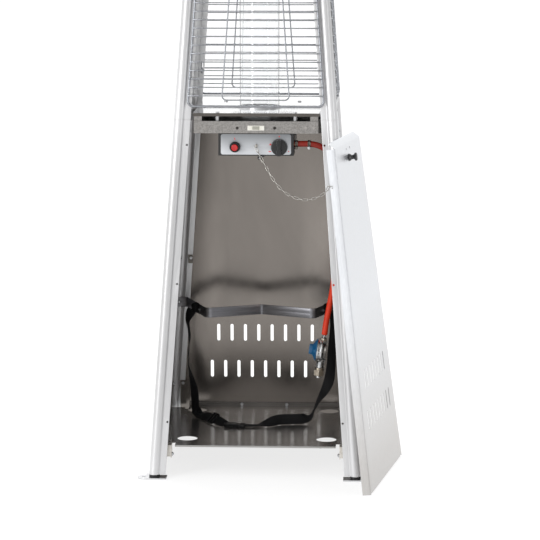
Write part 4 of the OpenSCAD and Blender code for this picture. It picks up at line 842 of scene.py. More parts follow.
def ribbon(stations, width, thick, k, s=None):
    """Flat webbing along stations of (point, width direction): rounded selvedges, eight points round."""
    s = s or Shape()
    c = catmull([p for p, _ in stations], k)
    w = catmull([tuple(Vector(d).normalized()) for _, d in stations], k)
    n = len(c)
    rings, uvs, along = [], [], 0.0
    for i in range(n):
        t = (c[min(i + 1, n - 1)] - c[max(i - 1, 0)]).normalized()
        a = (w[i] - t * w[i].dot(t)).normalized()
        b = t.cross(a)
        if i:
            along += (c[i] - c[i - 1]).length * MM
        hw_, ht = width / 2, thick / 2
        prof = [(-hw_ + ht, -ht), (0, -ht * 0.9), (hw_ - ht, -ht), (hw_ - ht * 0.3, -ht * 0.7), (hw_, 0), (hw_ - ht * 0.3, ht * 0.7), (hw_ - ht, ht),
                (0, ht * 0.9), (-hw_ + ht, ht), (-hw_ + ht * 0.3, ht * 0.7), (-hw_, 0), (-hw_ + ht * 0.3, -ht * 0.7)]
        rings.append([tuple(c[i] + a * x + b * y) for x, y in prof])
        uvs.append([(along + 1e-6, x / width + 0.5) for x, y in prof])
    m = 12
    v = [x for r in rings for x in r]
    f = [(i * m + j, i * m + (j + 1) % m, (i + 1) * m + (j + 1) % m, (i + 1) * m + j) for i in range(n - 1) for j in range(m)]
    f += [tuple(range(m - 1, -1, -1)), tuple(range((n - 1) * m, n * m))]
    s.add(v, f, None, [x for r in uvs for x in r])
    return s, c


strap_shape, strap_line = ribbon(STRAP, 25.0, 1.5, 8)
strap = make("cylinder_strap_webbing", strap_shape, MAT["webbing"], replaces=("cylinder_strap",), sharp=50)

# ------------------------------------------------------------------ buckle, slider and rivets of the strap
BUCKLE = T(-59, -16.5, 79.9) @ RZ(-3)
body_outline = rounded([(-27, -11), (-22, -13.5), (-2, -13.5), (6, -10.5), (6, 10.5), (-2, 13.5), (-22, 13.5), (-27, 11)], 2.5, 4)
buckle = make("strap_side_release_buckle", prism(body_outline, -4.4, 4.4, BUCKLE), MAT["black_plastic"], replaces=("strap_buckle",))
cuts = Shape()
for sgn in (-1, 1):
    prism(rounded([(-19, sgn * 9.5), (-5, sgn * 9.5), (-3, sgn * 16), (-20, sgn * 16)], 1.0, 3), -2.8, 2.8, BUCKLE, cuts)
block((-25.5, -10.5, -6), (-22.3, 10.5, 6), BUCKLE, cuts)
cut(buckle, cuts)
bevelled(buckle, 0.8, 3)
parts = Shape()
for sgn in (-1, 1):
    tube(bent([(5, sgn * 7, 0), (-2, sgn * 9.6, 0), (-10, sgn * 14.3, 0), (-18, sgn * 13.8, 0), (-19.5, sgn * 10.5, 0)], 4, 4), 2.1, 12, s=parts, m=BUCKLE)
for i in range(5):
    tube([(-14.5 + 2.2 * i, -5.5, 4.5), (-14.5 + 2.2 * i, 5.5, 4.5)], 0.45, 8, s=parts, m=BUCKLE)
prongs = make("strap_buckle_prongs", parts, MAT["black_plastic"])
male = make("strap_buckle_male", prism(rounded([(5, -9.5), (20, -12.5), (24, -12.5), (24, 12.5), (20, 12.5), (5, 9.5)], 1.5, 4), -3.3, 3.3, BUCKLE), MAT["black_plastic"])
cuts = Shape()
for x0, x1 in ((13, 16.4), (19, 22.2)):
    block((x0, -9.8, -5), (x1, 9.8, 5), BUCKLE, cuts)
cut(male, cuts)
bevelled(male, 0.6, 2)
SLIDER = T(-116, 24, 87.6) @ RZ(-54) @ RX(40)
slider = make("strap_slider", prism(rounded([(-13, -16), (13, -16), (13, 16), (-13, 16)], 3, 5), -1.9, 2.5, SLIDER), MAT["black_plastic"])
cuts = Shape()
for x0, x1 in ((-9.5, -2.6), (2.6, 9.5)):
    prism(rounded([(x0, -13), (x1, -13), (x1, 13), (x0, 13)], 1.2, 3), -5, 5, SLIDER, cuts)
cut(slider, cuts)
bevelled(slider, 0.7, 3)
rivets = Shape()
for sx in (-1, 1):
    lathe([(0, 1.4), (1.6, 1.3), (3.2, 0.8), (4.0, 0.0), (4.0, -0.5), (2, -0.6), (2, -3.2), (0, -3.2)], 32,
          T(sx * 153.0, 88.9, 348) @ RZ(20 if sx < 0 else 160) @ RY(90) @ RZ(0), rivets)
strap_rivets = make("strap_rivets", rivets, MAT["zinc"])

# ------------------------------------------------------------------ regulator
REG = T(158.4, -60, 311) @ RY(7.5)
DISC = REG @ T(-13.5, 0, -36) @ RY(90)


def knurl(count, depth, r_min=0.0):
    def wave(a, r, z):
        return r - (depth * (0.5 + 0.5 * math.cos(a * count)) if r > r_min else 0.0)
    return wave


reg_shape = Shape()
lathe([(0, 0), (24, 0), (27.2, 0.2), (28, 1.0), (28, 5.0), (27.4, 5.8), (26.6, 6.2), (26.6, 8.2), (27.2, 8.8), (27.6, 9.6), (27.6, 12.6), (26.8, 13.8),
       (24.6, 14.6), (22.5, 16.2), (21.2, 18.6), (20.4, 21.0), (18.6, 21.9), (12, 22.2), (10.5, 21.2), (9.2, 20.6), (5, 20.6), (4.2, 21.6), (0, 21.8)], 72, DISC, reg_shape)
for i in range(6):
    a = math.radians(30 + 60 * i)
    lathe([(0, 0.4), (2.6, 0.4), (2.9, 0.8), (2.9, 13.4), (2.4, 14.2), (1.8, 14.4), (1.6, 13.6), (0, 13.6)], 20, DISC @ T(25.0 * math.cos(a), 25.0 * math.sin(a), 0), reg_shape)
lathe([(0, -13.5), (10.2, -13.5), (10.4, -12.5), (10.4, -11.8), (8.6, -11.4), (6.6, -10.6), (4.2, -9.8), (4.2, -4.6), (3.7, -4.3), (4.3, -2.2), (3.6, -2.0), (4.3, 0.2), (3.6, 0.4), (4.3, 2.6), (3.6, 2.8), (3.6, 4.5), (0, 4.5)], 40, REG, reg_shape)
lathe([(0, -56), (12.5, -57), (12, -60), (9.6, -62.5), (9.0, -64), (9.0, -77.4), (8.4, -78), (6.9, -78.2), (6.5, -79), (6.5, -97), (6.1, -98), (6.1, -99.4), (6.5, -100), (6.5, -102.4),
       (5.6, -103.8), (4.4, -104), (2.6, -104), (2.6, -98), (0, -98)], 48, REG @ T(-1, 0, 0), reg_shape)
reg_body = make("regulator_casting", reg_shape, MAT["diecast"], replaces=("regulator_body",))


def hexed(across, rlim):
    """Radius of a hexagon that a turned shoulder limits."""
    def wave(a, r, z):
        b = (a + math.pi / 6) % (math.pi / 3) - math.pi / 6
        return min(across / 2 / math.cos(b), rlim(z)) if r > 6.8 else r
    return wave


neck = lathe([(6.7, -12.6), (9.0, -12.6), (9.0, -12.0), (9.0, -6.8), (9.0, -5.6), (6.7, -5.4)], 72, REG, None,
             hexed(15.8, lambda z: 9.1 - max(0, -11.8 - z) * 0.8 - max(0, z + 6.6) * 0.8))
reg_neck = make("regulator_hose_nut", neck, MAT["nut_brass"])
cap_shape = Shape()
CAPM = REG @ T(-13.5, 0, -36) @ RY(-90)
lathe([(0, 0), (25.6, 0), (26.3, 0.3), (26.5, 0.9), (26.3, 1.6), (25.2, 2.6), (24.2, 3.3), (21.2, 5.1), (17.2, 7.5), (14.6, 9.3), (13.2, 10.4), (12.6, 11.3), (12.5, 12.2),
       (12.5, 16.6), (12.2, 17.5), (11.4, 18.2), (10.4, 18.4), (9.2, 18.3), (8.6, 17.9), (8.2, 17.2), (4.2, 17.2), (3.6, 17.6), (0, 17.7)], 144, CAPM, cap_shape,
      lambda a, r, z: r - (0.75 * (0.5 + 0.5 * math.cos(a * 18)) ** 2 if 11.0 < r < 12.9 and z > 10.8 else 0.0))
for i in range(3):
    a = math.radians(30 + 120 * i)
    lathe([(0, 4.0), (2.6, 4.0), (2.6, 6.0), (2.1, 6.5), (1.2, 6.5), (1.0, 6.0), (0, 6.0)], 24, CAPM @ T(20.6 * math.cos(a), 20.6 * math.sin(a), 0), cap_shape)
cap = make("regulator_cover", cap_shape, MAT["blue_plastic"], replaces=("regulator_cap",))
nut_shape = Shape()
NUTM = REG @ T(-1, 0, 0)
lathe([(6.75, -98), (11.4, -98), (12.8, -97.2), (13.4, -96), (13.4, -86.4), (13.4, -85), (12.4, -84.2), (10.9, -83.8), (10.9, -82.8), (11.0, -82.2), (11.0, -79.2), (10.6, -78.5), (6.75, -78.5), (6.75, -98)],
      120, NUTM, nut_shape, lambda a, r, z: min(11.6 / math.cos((a + math.pi / 6) % (math.pi / 3) - math.pi / 6), r + 0.0) if (r > 11.2) else (r - 0.3 * (0.5 + 0.5 * math.cos(a * 40)) if r > 10.95 else r))
nut = make("regulator_union_nut", nut_shape, MAT["nut_brass"], body="inlet_nut", replaces=("regulator_nut",), sharp=30)

# ------------------------------------------------------------------ hose clamps on the short run beside the valve
clamp_shape = Shape()
screw_shape = Shape()
for x, sh in ((90.2, clamp_shape), (120.0, screw_shape)):
    m = T(x, -150, 783.7)
    lathe([(7.05, 0.2), (8.2, 0.0), (8.6, 0.3), (8.6, 1.0), (8.4, 1.4), (8.4, 5.6), (8.6, 6.0), (8.6, 6.7), (8.2, 7.0), (7.05, 6.8), (7.05, 0.2)], 56, m @ RY(90), clamp_shape)
    for k in range(24):
        a = math.radians(-66 + 132 * k / 23)
        block((1.6, -0.35, 8.1), (5.4, 0.35, 8.55), m @ RX(math.degrees(a)), clamp_shape)
    prism(rounded([(-5, -12.8), (5, -12.8), (5, -8.6), (3.4, -7.4), (-3.4, -7.4), (-5, -8.6)], 1.0, 3), 0.4, 6.6,
          m @ Matrix(((0, 0, 1, 0), (1, 0, 0, 0), (0, 1, 0, 0), (0, 0, 0, 1))), clamp_shape)
    # hexagon head with a small round pit in its face, facing the front
    head = T(x + 3.5, -159.2, 783.7 - 9.2) @ RX(-90)
    lathe([(0, 1.1), (0.7, 1.1), (0.7, 0.0), (2.8, 0.0), (3.4, 0.2), (3.9, 0.8), (3.95, 1.2), (3.95, 3.6), (3.4, 4.1), (2.3, 4.1), (2.3, 14.4), (2.9, 14.6), (2.9, 15.8), (0, 15.8)], 72,
          head, sh, lambda a, r, z: min(r, 3.45 / math.cos((a + math.pi / 6) % (math.pi / 3) - math.pi / 6)) if z < 4 and r > 3.45 else r)
make("hose_clamp_bright_screw", screw_shape, MAT["zinc"], sharp=30)
clamps = make("hose_worm_clamps", clamp_shape, MAT["dark_zinc"], replaces=("hose_clamps",), sharp=32)

# ------------------------------------------------------------------ legs: round tube with two flanges, pressed edges, drilled holes


def leg_outline():
    """Outline of the leg: tube circle with both flanges, filleted where they meet, rounded at the tips."""
    r, c = 12.7, Vector((12.7, 12.7))
    pts = []

    def arc(a0, a1, n):
        return [(c.x + r * math.cos(math.radians(a0 + (a1 - a0) * i / n)), c.y + r * math.sin(math.radians(a0 + (a1 - a0) * i / n))) for i in range(n + 1)]

    def curve(a, b, d, n=4):
        a, b, d = Vector(a), Vector(b), Vector(d)
        return [tuple(a * (1 - t) ** 2 + b * 2 * t * (1 - t) + d * t * t) for t in (i / n for i in range(1, n))]

    # inner arc from flange A to flange B
    pts += arc(-8, 98, 22)
    # up flange B, inner side
    p = pts[-1]
    pts += curve(p, (9.2, 25.2), (9.2, 27.6))
    tip = [(9.2, 27.6), (9.2, 37.9), (8.9, 38.7), (8.1, 39.0), (7.3, 38.7), (7.0, 37.9), (7.0, 26.6)]
    pts += tip
    q = arc(124, 326, 40)
    pts += curve(pts[-1], (7.0, 24.2), q[0])
    pts += q
    k = lambda x, y: (x * math.cos(-SKEW) - y * math.sin(-SKEW), x * math.sin(-SKEW) + y * math.cos(-SKEW))
    pts += curve(pts[-1], (24.2, 7.0), k(26.6, 7.0))
    pts += [k(26.6, 7.0), k(37.9, 7.0), k(38.7, 7.3), k(39.0, 8.1), k(38.7, 8.9), k(37.9, 9.2), k(27.6, 9.2)]
    pts += curve(pts[-1], (25.2, 9.2), pts[0])
    return pts


LEG_OUT = leg_outline()
LEG_IN = circle(10.9, 40, 12.7, 12.7)


def leg(name, sx, sy, z0, z1, upper):
    m = Matrix.Diagonal((-sx, -sy, 1, 1)) @ T(-W0, -W0, 0) @ RY(EDGE_B) @ RX(EDGE_A)
    axis = (m.to_3x3() @ Vector((0, 0, 1)))

    def at(p, z):
        q = m @ Vector((p[0], p[1], 0))
        return q + axis * ((z - q.z) / axis.z)

    heights = [z0 + (z1 - z0) * i / 6 for i in range(7)]
    me = bpy.data.meshes.new(name)
    bm = bmesh.new()
    loops = []
    for outline in (LEG_OUT, LEG_IN):
        rows = [[bm.verts.new(at(p, z) * MM) for p in outline] for z in heights]
        n = len(outline)
        for a, b in zip(rows, rows[1:]):
            for i in range(n):
                bm.faces.new((a[i], a[(i + 1) % n], b[(i + 1) % n], b[i]))
        loops.append(rows)
    for end in (0, -1):
        edges = []
        for rows in loops:
            row = rows[end]
            for i in range(len(row)):
                e = bm.edges.get((row[i], row[(i + 1) % len(row)])) or bm.edges.new((row[i], row[(i + 1) % len(row)]))
                edges.append(e)
        bmesh.ops.triangle_fill(bm, use_beauty=True, edges=edges)
    bmesh.ops.recalc_face_normals(bm, faces=bm.faces)
    bm.to_mesh(me)
    bm.free()
    me.materials.append(MAT["leg_paint"])
    o = bpy.data.objects.new(name + "_section", me)
    scene.collection.objects.link(o)
    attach(o, "frame")
    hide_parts(name)
    fa, sa = (0, sx) if sy < 0 else (2, -sx)
    fb, sb = (1, sy) if sx > 0 else (3, -sy)
    c = Shape()
    hole = [(0, -0.5), (2.6, -0.5), (2.6, 12), (0, 12)]
    if upper:
        for i in (0, 27, 55):
            z = BAR_Z + PITCH_W * i
            for k, s in ((fa, sa), (fb, sb)):
                prism(rounded([(-2.3, -2), (2.3, -2), (2.3, 18), (-2.3, 18)], 2.2, 4), 4, 12,
                      on_face(k, s * (hw(z) - 33), z, 0) @ Matrix(((1, 0, 0, 0), (0, 0, 1, 0), (0, 1, 0, 0), (0, 0, 0, 1))), c)
    else:
        for z in HOLE_Z:
            for k, s in ((fa, sa), (fb, sb)):
                lathe(hole, 28, on_face(k, s * (hw(z) - 34.5), z, 2) @ INWARD, c)
        lathe(hole, 28, on_face(fb, sb * (hw(33) - 34.5), 33, 2) @ INWARD, c)
        for k, s in ((fa, sa), (fb, sb)):
            block((-16, 0, -14), (16, 8, 0), on_face(k, s * (hw(9.5) - 39), 9.5, 4) @ RY(s * 20), c)
    cut(o, c)
    return o


for sy, yn in ((-1, "front"), (1, "rear")):
    for sx, xn in ((-1, "left"), (1, "right")):
        leg(f"leg_lower_{yn}_{xn}", sx, sy, 9.5, SPLIT, False)
        leg(f"leg_upper_{yn}_{xn}", sx, sy, SPLIT + 0.35, LEG_TOP, True)

# ------------------------------------------------------------------ wire guards: round welded wire
for k, name in enumerate(("front", "right", "rear", "left")):
    g = Shape()
    f = face(k)
    z0, z1 = 873.6, 2068.0
    frame_wire = [(-(hw(z0) - 30), 3.3, uz(z0)), (hw(z0) - 30, 3.3, uz(z0)), (hw(z1) - 30, 3.3, uz(z1)), (-(hw(z1) - 30), 3.3, uz(z1))]
    tube(bent(frame_wire, 13.0, 7, True), 2.9, 14, True, g, m=f)
    z2, z3 = 888.4, 1749.0
    loop = [(-(hw(z2) - 109), -2.4, uz(z2)), (hw(z2) - 109, -2.4, uz(z2)), (hw(z3) - 109, -2.4, uz(z3)), (-(hw(z3) - 109), -2.4, uz(z3))]
    tube(bent(loop, [10.0, 10.0, 17.0, 17.0], 7, True), 1.65, 12, True, g, m=f)
    for i in range(-2, 58):
        z = BAR_Z + PITCH_W * i
        if i in (0, 27, 55):
            x = hw(z) - 33
            line = bent([(-x, 13, uz(z) - 11.5), (-x, 11.4, uz(z)), (-x, 0, uz(z)), (x, 0, uz(z)), (x, 11.4, uz(z)), (x, 13, uz(z) - 11.5)], 3.4, 4)
            tube(line, 1.9, 12, False, g, m=f)
        else:
            x = hw(z) - 27.6
            tube([(-x, -0.4, uz(z)), (-x + 30, -0.4, uz(z)), (x - 30, -0.4, uz(z)), (x, -0.4, uz(z))], 1.38, 10, False, g, m=f)
        # weld beads where a cross wire meets the frame wire
        for s in (-1, 1):
            lathe([(0, -1.5), (1.5, -1.1), (2.1, 0), (1.5, 1.1), (0, 1.5)], 8, f @ T(s * (hw(z) - 30), 0.5, uz(z)), g)
    make(f"guard_{name}_wires", g, MAT["wire_steel"], replaces=(f"guard_{name}",), sharp=55)

# ------------------------------------------------------------------ door: folded sheet with bent flanges, lips and slots
DOOR = T(274.5, -389, 2.6) @ RZ(90 - 10.22) @ RX(-7.22) @ T(206.5, 0, 0)


def dw(h):
    return 206.5 - 56.0 * h / 792.0


R, D = 2.4, 20.0
bend_a = [math.radians(90 * i / 4) for i in range(5)]
heights = [R, 20, 60, 120, 210, 300, 400, 500, 600, 700, 760, 788]
NF = 20


def door_row(h, y_off=None):
    w = dw(h)
    left = [(-w, D), (-w, D * 0.5), (-w, R)] + [(-w + R - R * math.cos(a), R - R * math.sin(a)) for a in bend_a[1:]]
    mid = [(-w + R + (2 * w - 2 * R) * i / NF, 0.0) for i in range(1, NF)]
    right = [(-x, y) for x, y in reversed(left)]
    return left + mid + right


door_v, door_f = [], []
rows = []
for h in heights + [792.0]:
    row = door_row(h)
    rows.append(list(range(len(door_v), len(door_v) + len(row))))
    door_v += [(x, y, h) for x, y in row]
for a, b in zip(rows, rows[1:]):
    for i in range(len(a) - 1):
        door_f.append((a[i], a[i + 1], b[i + 1], b[i]))
nl = 6  # columns of one flange and its bend, before the face
ncol = len(rows[0])
# side flanges run down to the lower edge
base = door_row(0.0)
low = {}
for i in list(range(0, nl)) + list(range(ncol - nl, ncol)):
    low[i] = len(door_v)
    door_v.append((base[i][0], base[i][1], 0.0))
for i in list(range(0, nl - 1)) + list(range(ncol - nl, ncol - 1)):
    door_f.append((low[i], low[i + 1], rows[0][i + 1], rows[0][i]))
# lower lip bends in under the face
prev = {i: rows[0][i] for i in range(nl + 1, ncol - nl - 1)}
lip = [(R - R * math.cos(a), R - R * math.sin(a)) for a in bend_a[1:]] + [(7.0, 0.0), (12.0, 0.0)]
for y, h in lip:
    cur = {}
    for i in prev:
        cur[i] = len(door_v)
        door_v.append((door_v[rows[0][i]][0], y, h))
    ks = sorted(prev)
    for p, q in zip(ks, ks[1:]):
        door_f.append((cur[p], cur[q], prev[q], prev[p]))
    prev = cur
# upper lip leans in at 45 degrees
prev = {i: rows[-1][i] for i in range(nl, ncol - nl)}
for y, h in [(0.35, 792.9), (1.2, 794.0), (7.5, 800.3), (13.2, 806.0), (13.9, 806.3)]:
    cur = {}
    for i in prev:
        cur[i] = len(door_v)
        door_v.append((door_v[rows[-1][i]][0], y, h))
    ks = sorted(prev)
    for p, q in zip(ks, ks[1:]):
        door_f.append((prev[p], prev[q], cur[q], cur[p]))
    prev = cur
door_shape = Shape().add(door_v, door_f, DOOR)
door = make("door_sheet", door_shape, MAT["door_steel"], body="door", replaces=("door_panel",), fix=True)
# the sheet's thickness goes to the inner side
inner_dir = (DOOR.to_3x3() @ Vector((0, 1, 0))).normalized()
centre_normal = min(door.data.polygons, key=lambda p: (p.center - (DOOR @ Vector((10, 0, 400))) * MM).length).normal
sol = door.modifiers.new("sheet", "SOLIDIFY")
sol.thickness, sol.offset, sol.use_even_offset = 0.9 * MM, (1.0 if centre_normal.dot(inner_dir) > 0 else -1.0), True
settle(door)
cuts = Shape()
TO_Y = Matrix(((1, 0, 0, 0), (0, 0, 1, 0), (0, 1, 0, 0), (0, 0, 0, 1)))
for i in range(-4, 5):
    prism(rounded([(i * 33.8 - 3.9, 138), (i * 33.8 + 3.9, 138), (i * 33.8 + 3.9, 184), (i * 33.8 - 3.9, 184)], 3.85, 7), -2, 3, DOOR @ TO_Y, cuts)
for i in range(-4, 4):
    x = (i + 0.5) * 33.8
    prism(rounded([(x - 3.9, 231), (x + 3.9, 231), (x + 3.9, 276.5), (x - 3.9, 276.5)], 3.85, 7), -2, 3, DOOR @ TO_Y, cuts)
lathe([(0, -4), (2.1, -4), (2.1, 4), (0, 4)], 28, DOOR @ T(-dw(705), 15.6, 705) @ RY(90), cuts)
cut(door, cuts)
# split ring through the hole in the flange; the chain's last link hangs in it
split = Shape()
RINGM = T(177.0, -322.6, 704.5)
coil = [RINGM @ Vector((4.3 * math.cos(a), 4.3 * math.sin(a), -0.45 + 0.9 * a / (4 * math.pi))) for a in (4 * math.pi * i / 56 for i in range(57))]
tube(coil, 0.45, 8, s=split)
make("chain_split_ring", split, MAT["chain_nickel"], body="door", sharp=60)

knob_prof = [(0, 0), (7.6, 0), (8.5, 0.3), (8.9, 1.0), (8.7, 2.0), (7.8, 3.3), (6.6, 4.5), (5.8, 6.0), (5.4, 7.6), (5.25, 9.2), (5.5, 10.8), (6.4, 12.2), (7.8, 13.2), (9.0, 14.0), (9.6, 14.9),
             (9.8, 16.0), (9.7, 17.2), (9.2, 18.2), (8.3, 19.0), (6.8, 19.5), (4.0, 19.75), (0, 19.8)]
make("door_knob_turned", lathe(knob_prof, 64, DOOR @ T(0, 0, 758) @ RX(90)), MAT["black_gloss"], body="door", replaces=("door_knob",), sharp=60)

# ------------------------------------------------------------------ retaining band: bent flat steel strip
BAND = [(-215, 197.8), (-196, 197.8), (-190.5, 195.2), (-139, 55), (-134.5, 43.5), (-124, 40.6), (-3, 95.6), (0, 96.2), (3, 95.6), (124, 40.6), (134.5, 43.5), (139, 55), (190.5, 195.2), (196, 197.8), (215, 197.8)]
band_line = bent([(x, y, 348) for x, y in BAND], [0, 0, 6, 34, 22, 34, 2, 2, 2, 34, 22, 34, 6, 0, 0], 6)
bs, bn = Shape(), len(band_line)
ht, hh, e = 1.25, 12.25, 0.7
prof = [(-ht, -hh + e), (-ht + e * 0.3, -hh + e * 0.3), (-ht + e, -hh), (ht - e, -hh), (ht - e * 0.3, -hh + e * 0.3), (ht, -hh + e), (ht, -1.6), (ht + 0.3, 0), (ht, 1.6), (ht, hh - e), (ht - e * 0.3, hh - e * 0.3), (ht - e, hh), (-ht + e, hh), (-ht + e * 0.3, hh - e * 0.3), (-ht, hh - e), (-ht, 1.6), (-ht + 0.3, 0), (-ht, -1.6)]
bv, bf, pn = [], [], len(prof)
for i, q in enumerate(band_line):
    t = (band_line[min(i + 1, bn - 1)] - band_line[max(i - 1, 0)]).normalized()
    nrm = Vector((-t.y, t.x, 0))
    bv += [tuple(q + nrm * a + Vector((0, 0, b))) for a, b in prof]
bf = [(i * pn + j, i * pn + (j + 1) % pn, (i + 1) * pn + (j + 1) % pn, (i + 1) * pn + j) for i in range(bn - 1) for j in range(pn)]
bf += [tuple(range(pn - 1, -1, -1)), tuple(range((bn - 1) * pn, bn * pn))]
make("cylinder_retaining_band", bs.add(bv, bf), MAT["band_steel"], replaces=("retaining_band",), sharp=50)
bolts = Shape()
for s in (-1, 1):
    lathe([(0, 3.4), (2.2, 3.2), (3.8, 2.4), (4.6, 1.0), (4.7, 0.0), (4.7, -0.4), (2.1, -0.4), (2.1, -9), (0, -9)], 32, T(s * (hw(348) - 12.7), 196.2, 348) @ RX(90), bolts)
make("band_bolts", bolts, MAT["zinc"])

# ------------------------------------------------------------------ controls
TO_XZ = Matrix(((1, 0, 0, 0), (0, 0, 1, 0), (0, 1, 0, 0), (0, 0, 0, 1)))
fascia = make("control_fascia_plate", prism(rounded([(-82, 760), (82, 760), (82, 808), (-82, 808)], 5, 8), -173.0, -171.0, TO_XZ), MAT["fascia_paint"],
              replaces=("control_fascia",))
cuts = Shape()
for x, z, r in ((-49, 778, 9.7), (54.6, 778, 6.0), (1, 781, 2.1)):
    lathe([(0, -4), (r, -4), (r, 4), (0, 4)], 48, T(x, -172, z) @ RX(90), cuts)
cut(fascia, cuts)
bevelled(fascia, 0.55, 3)
marks = Shape()
lathe([(0, 0.18), (1.3, 0.16), (1.5, 0.0), (1.5, -0.1), (0, -0.1)], 28, T(54.6, -173, 802.6) @ RX(90), marks)
lathe([(0, 0.18), (1.2, 0.16), (1.4, 0.0), (1.4, -0.1), (0, -0.1)], 28, T(76.5, -173, 768) @ RX(90), marks)
prism(rounded([(29.5, 766.6), (35.5, 766.6), (35.5, 768.4), (29.5, 768.4)], 0.85, 5), -173.18, -172.9, TO_XZ, marks)
prism([(-50.2, 799.6), (-47.6, 796.2), (-48.9, 796.0), (-47.4, 793.0), (-51.2, 796.9), (-49.8, 797.2), (-51.6, 799.6)], -173.16, -172.9, TO_XZ, marks)
for fx, fz, sc in ((33.5, 784.5, 0.85),):
    prism([(fx + sc * x, fz + sc * z) for x, z in ((0, -3.4), (1.7, -2.7), (2.4, -1.1), (2.0, 0.8), (1.2, 1.9), (0.9, 0.7), (0.4, 2.6), (-0.6, 4.2), (-0.6, 2.2), (-1.5, 0.9), (-2.3, -0.8), (-1.7, -2.6))], -173.16, -172.9, TO_XZ, marks)
make("fascia_marks", marks, MAT["red_print"])
CY = T(-49, -173, 778) @ RX(90)
make("ignition_collar_ring", lathe([(9.6, -15), (9.6, -1.2), (9.8, -0.2), (11.9, 0.0), (12.4, 0.5), (12.4, 5.2), (12.0, 6.0), (11.2, 6.3), (10.9, 7.0), (10.45, 17.6), (10.3, 18.4), (9.8, 18.9), (9.0, 19.0), (8.5, 18.7),
                                    (8.2, 18.0), (8.2, -15), (9.6, -15)], 160, CY, None,
     lambda a, r, z: r - (0.42 * (0.5 + 0.5 * math.cos(a * 40)) if r > 10.4 and 6.6 < z < 18.0 else 0.0)), MAT["black_plastic"], replaces=("ignition_collar",))
make("ignition_button_cap", lathe([(0, 19.7), (2.6, 19.8), (4.6, 20.1), (5.9, 20.4), (6.7, 20.4), (7.3, 20.1), (7.65, 19.5), (7.8, 18.6), (7.8, -7.6), (7.2, -8), (0, -8)], 64, CY), MAT["red_plastic"], body="button",
     replaces=("ignition_button",), sharp=50)
KY = T(54.6, -177.5, 778) @ RX(90)
knob_shape = Shape()
lathe([(0, 4.6), (3.08, 4.6), (3.08, 0.0), (6.8, 0.0), (6.9, 3.0), (16.6, 3.0), (16.8, 0.0), (19.1, 0.0), (19.5, 0.4), (19.4, 1.6), (19.0, 4.6), (18.7, 6.4), (18.2, 7.2), (17.2, 7.5), (14.0, 7.7), (8.0, 8.1), (0, 8.3)],
      160, KY, knob_shape, lambda a, r, z: r - (0.45 * (0.5 + 0.5 * math.cos(a * 40)) if r > 18.6 and 0.6 < z < 7 else 0.0))
make("control_knob_skirt", knob_shape, MAT["knob_black"], body="knob", replaces=("control_knob",))
grip = [(18.9 * math.sin(a), 18.9 * math.cos(a)) for a in (math.radians(x) for x in range(-19, 20, 3))]
grip = [(x, z) for x, z in grip if abs(x) <= 6.31]
outline = grip + [(x, -z) for x, z in reversed(grip)]
gm = T(54.6, 0, 778)
grip_obj = make("control_knob_grip", prism(rounded(outline, 0.0), -200.0, -184.5, gm @ TO_XZ), MAT["knob_black"], body="knob")
cuts = Shape()
for s in (-1, 1):
    # scooped sides, so the bar is thinner in its middle
    lathe([(0, -24), (24, -24), (24, 24), (0, 24)], 72, gm @ T(s * 28.6, -192, 0) @ RX(90), cuts)
cut(grip_obj, cuts)
bevelled(grip_obj, 1.0, 3, 40)

# ------------------------------------------------------------------ roof: folded pyramid with a hemmed skirt
rs = Shape()


def ring_sq(x, z, r, n=4):
    """Square outline with rounded corners at one height."""
    return [(p[0], p[1], z) for p in rounded([(-x, -x), (x, -x), (x, x), (-x, x)], r, n)]


outer = [(123.6, 2159.8, 3.0), (124.0, 2160.4, 3.2), (124.0, 2162.4, 3.2), (123.2, 2163.2, 3.0), (123.2, 2170.4, 3.0), (122.9, 2171.6, 3.0), (121.6, 2173.2, 3.0)]
prof = list(outer)
for i in range(1, 8):
    t = i / 8
    prof.append((121.6 + (6.0 - 121.6) * t, 2173.2 + (2268.0 - 2173.2) * t, 3.0 * (1 - t) + 0.8 * t))
prof += [(6.0, 2268.0, 2.4), (4.6, 2269.2, 2.0), (2.6, 2269.8, 1.2)]
inner = [(x - 1.2 if x > 3 else 1.6, z - (0.0 if i < 5 else 1.5), max(0.6, r - 0.6)) for i, (x, z, r) in enumerate(prof)][::-1]
rings = [ring_sq(*q) for q in prof + inner]
n = len(rings[0])
v = [p for r in rings for p in r]
f = [(i * n + j, i * n + (j + 1) % n, (i + 1) * n + (j + 1) % n, (i + 1) * n + j) for i in range(len(rings) - 1) if i != len(prof) - 1 for j in range(n)]
last = len(rings) - 1
f += [(last * n + j, last * n + (j + 1) % n, (j + 1) % n, j) for j in range(n)]
k = len(prof) - 1
f += [tuple(k * n + j for j in range(n)), tuple((k + 1) * n + j for j in range(n - 1, -1, -1))]
make("roof_folded_cap", rs.add(v, f), MAT["roof_steel"], replaces=("roof_cap",), sharp=25)

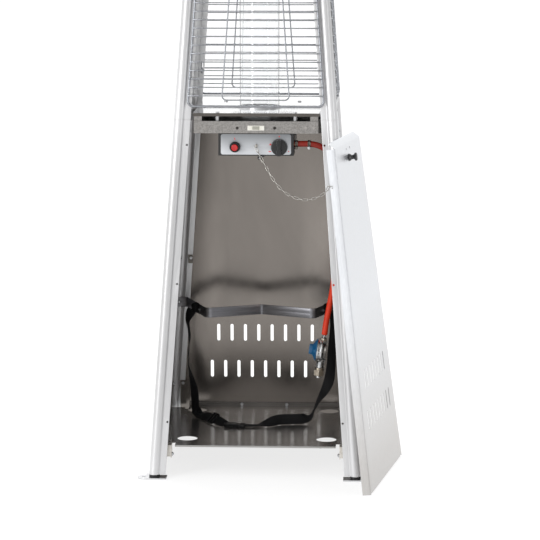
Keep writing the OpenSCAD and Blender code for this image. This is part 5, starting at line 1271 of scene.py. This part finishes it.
# ------------------------------------------------------------------ floor and light
floor_mat = Nodes("pale_floor")
floor_mat.done(floor_mat.ramp(floor_mat.noise(floor_mat.space(), 0.7, 2.0), [(0.3, (0.24, 0.24, 0.24)), (0.7, (0.26, 0.26, 0.26))]),
               floor_mat.span(floor_mat.noise(floor_mat.space(), 3.0), 0.8, 0.9), Emission_Color=(1, 1, 1, 1), Emission_Strength=0.78)
fs = Shape()
fs.add([(-60000, -60000, -0.5), (60000, -60000, -0.5), (60000, 60000, -0.5), (-60000, 60000, -0.5)], [(0, 1, 2, 3)])
floor = make("studio_floor", fs, floor_mat.mat, body=None)

world = bpy.data.worlds.new("studio")
scene.world = world
world.use_nodes = True
bg = world.node_tree.nodes["Background"]
bg.inputs[0].default_value = (1.0, 1.0, 1.0, 1.0)


def studio_strength():
    """White room, lit from the left and dimmer toward the front right; the background itself stays white."""
    tree = world.node_tree

    def math_node(op, a, b):
        n = tree.nodes.new("ShaderNodeMath")
        n.operation = op
        for i, v in enumerate((a, b)):
            if isinstance(v, (int, float)):
                n.inputs[i].default_value = v
            else:
                tree.links.new(v, n.inputs[i])
        return n.outputs[0]

    way = tree.nodes.new("ShaderNodeTexCoord")
    dim = Vector((0.85, -0.5, 0.15)).normalized()
    dot = tree.nodes.new("ShaderNodeVectorMath")
    dot.operation = "DOT_PRODUCT"
    tree.links.new(way.outputs["Generated"], dot.inputs[0])
    dot.inputs[1].default_value = dim
    room = math_node("SUBTRACT", 1.15, math_node("MULTIPLY", math_node("POWER", math_node("MAXIMUM", dot.outputs["Value"], 0.0), 1.5), 0.75))
    seen = tree.nodes.new("ShaderNodeLightPath").outputs["Is Camera Ray"]
    room = math_node("ADD", math_node("MULTIPLY", room, math_node("SUBTRACT", 1.0, seen)), seen)
    tree.links.new(room, bg.inputs[1])


studio_strength()


def area(name, place, target, size, power):
    light = bpy.data.lights.new(name, "AREA")
    light.shape, light.size, light.size_y, light.energy = "RECTANGLE", size[0], size[1], power
    o = bpy.data.objects.new(name, light)
    scene.collection.objects.link(o)
    o.location = place
    o.rotation_mode = "QUATERNION"
    o.rotation_quaternion = (Vector(target) - Vector(place)).to_track_quat("-Z", "Y")
    o.visible_camera = False
    return o


area("key_left", (-3.2, -3.6, 1.9), (0, 0, 0.9), (1.3, 3.4), 80.0)
area("fill_right", (3.6, -2.6, 1.7), (0.2, 0, 0.9), (0.7, 2.9), 18.0)
area("top_back", (0.0, 2.8, 4.2), (0, 0, 0.9), (3.0, 1.6), 70.0)
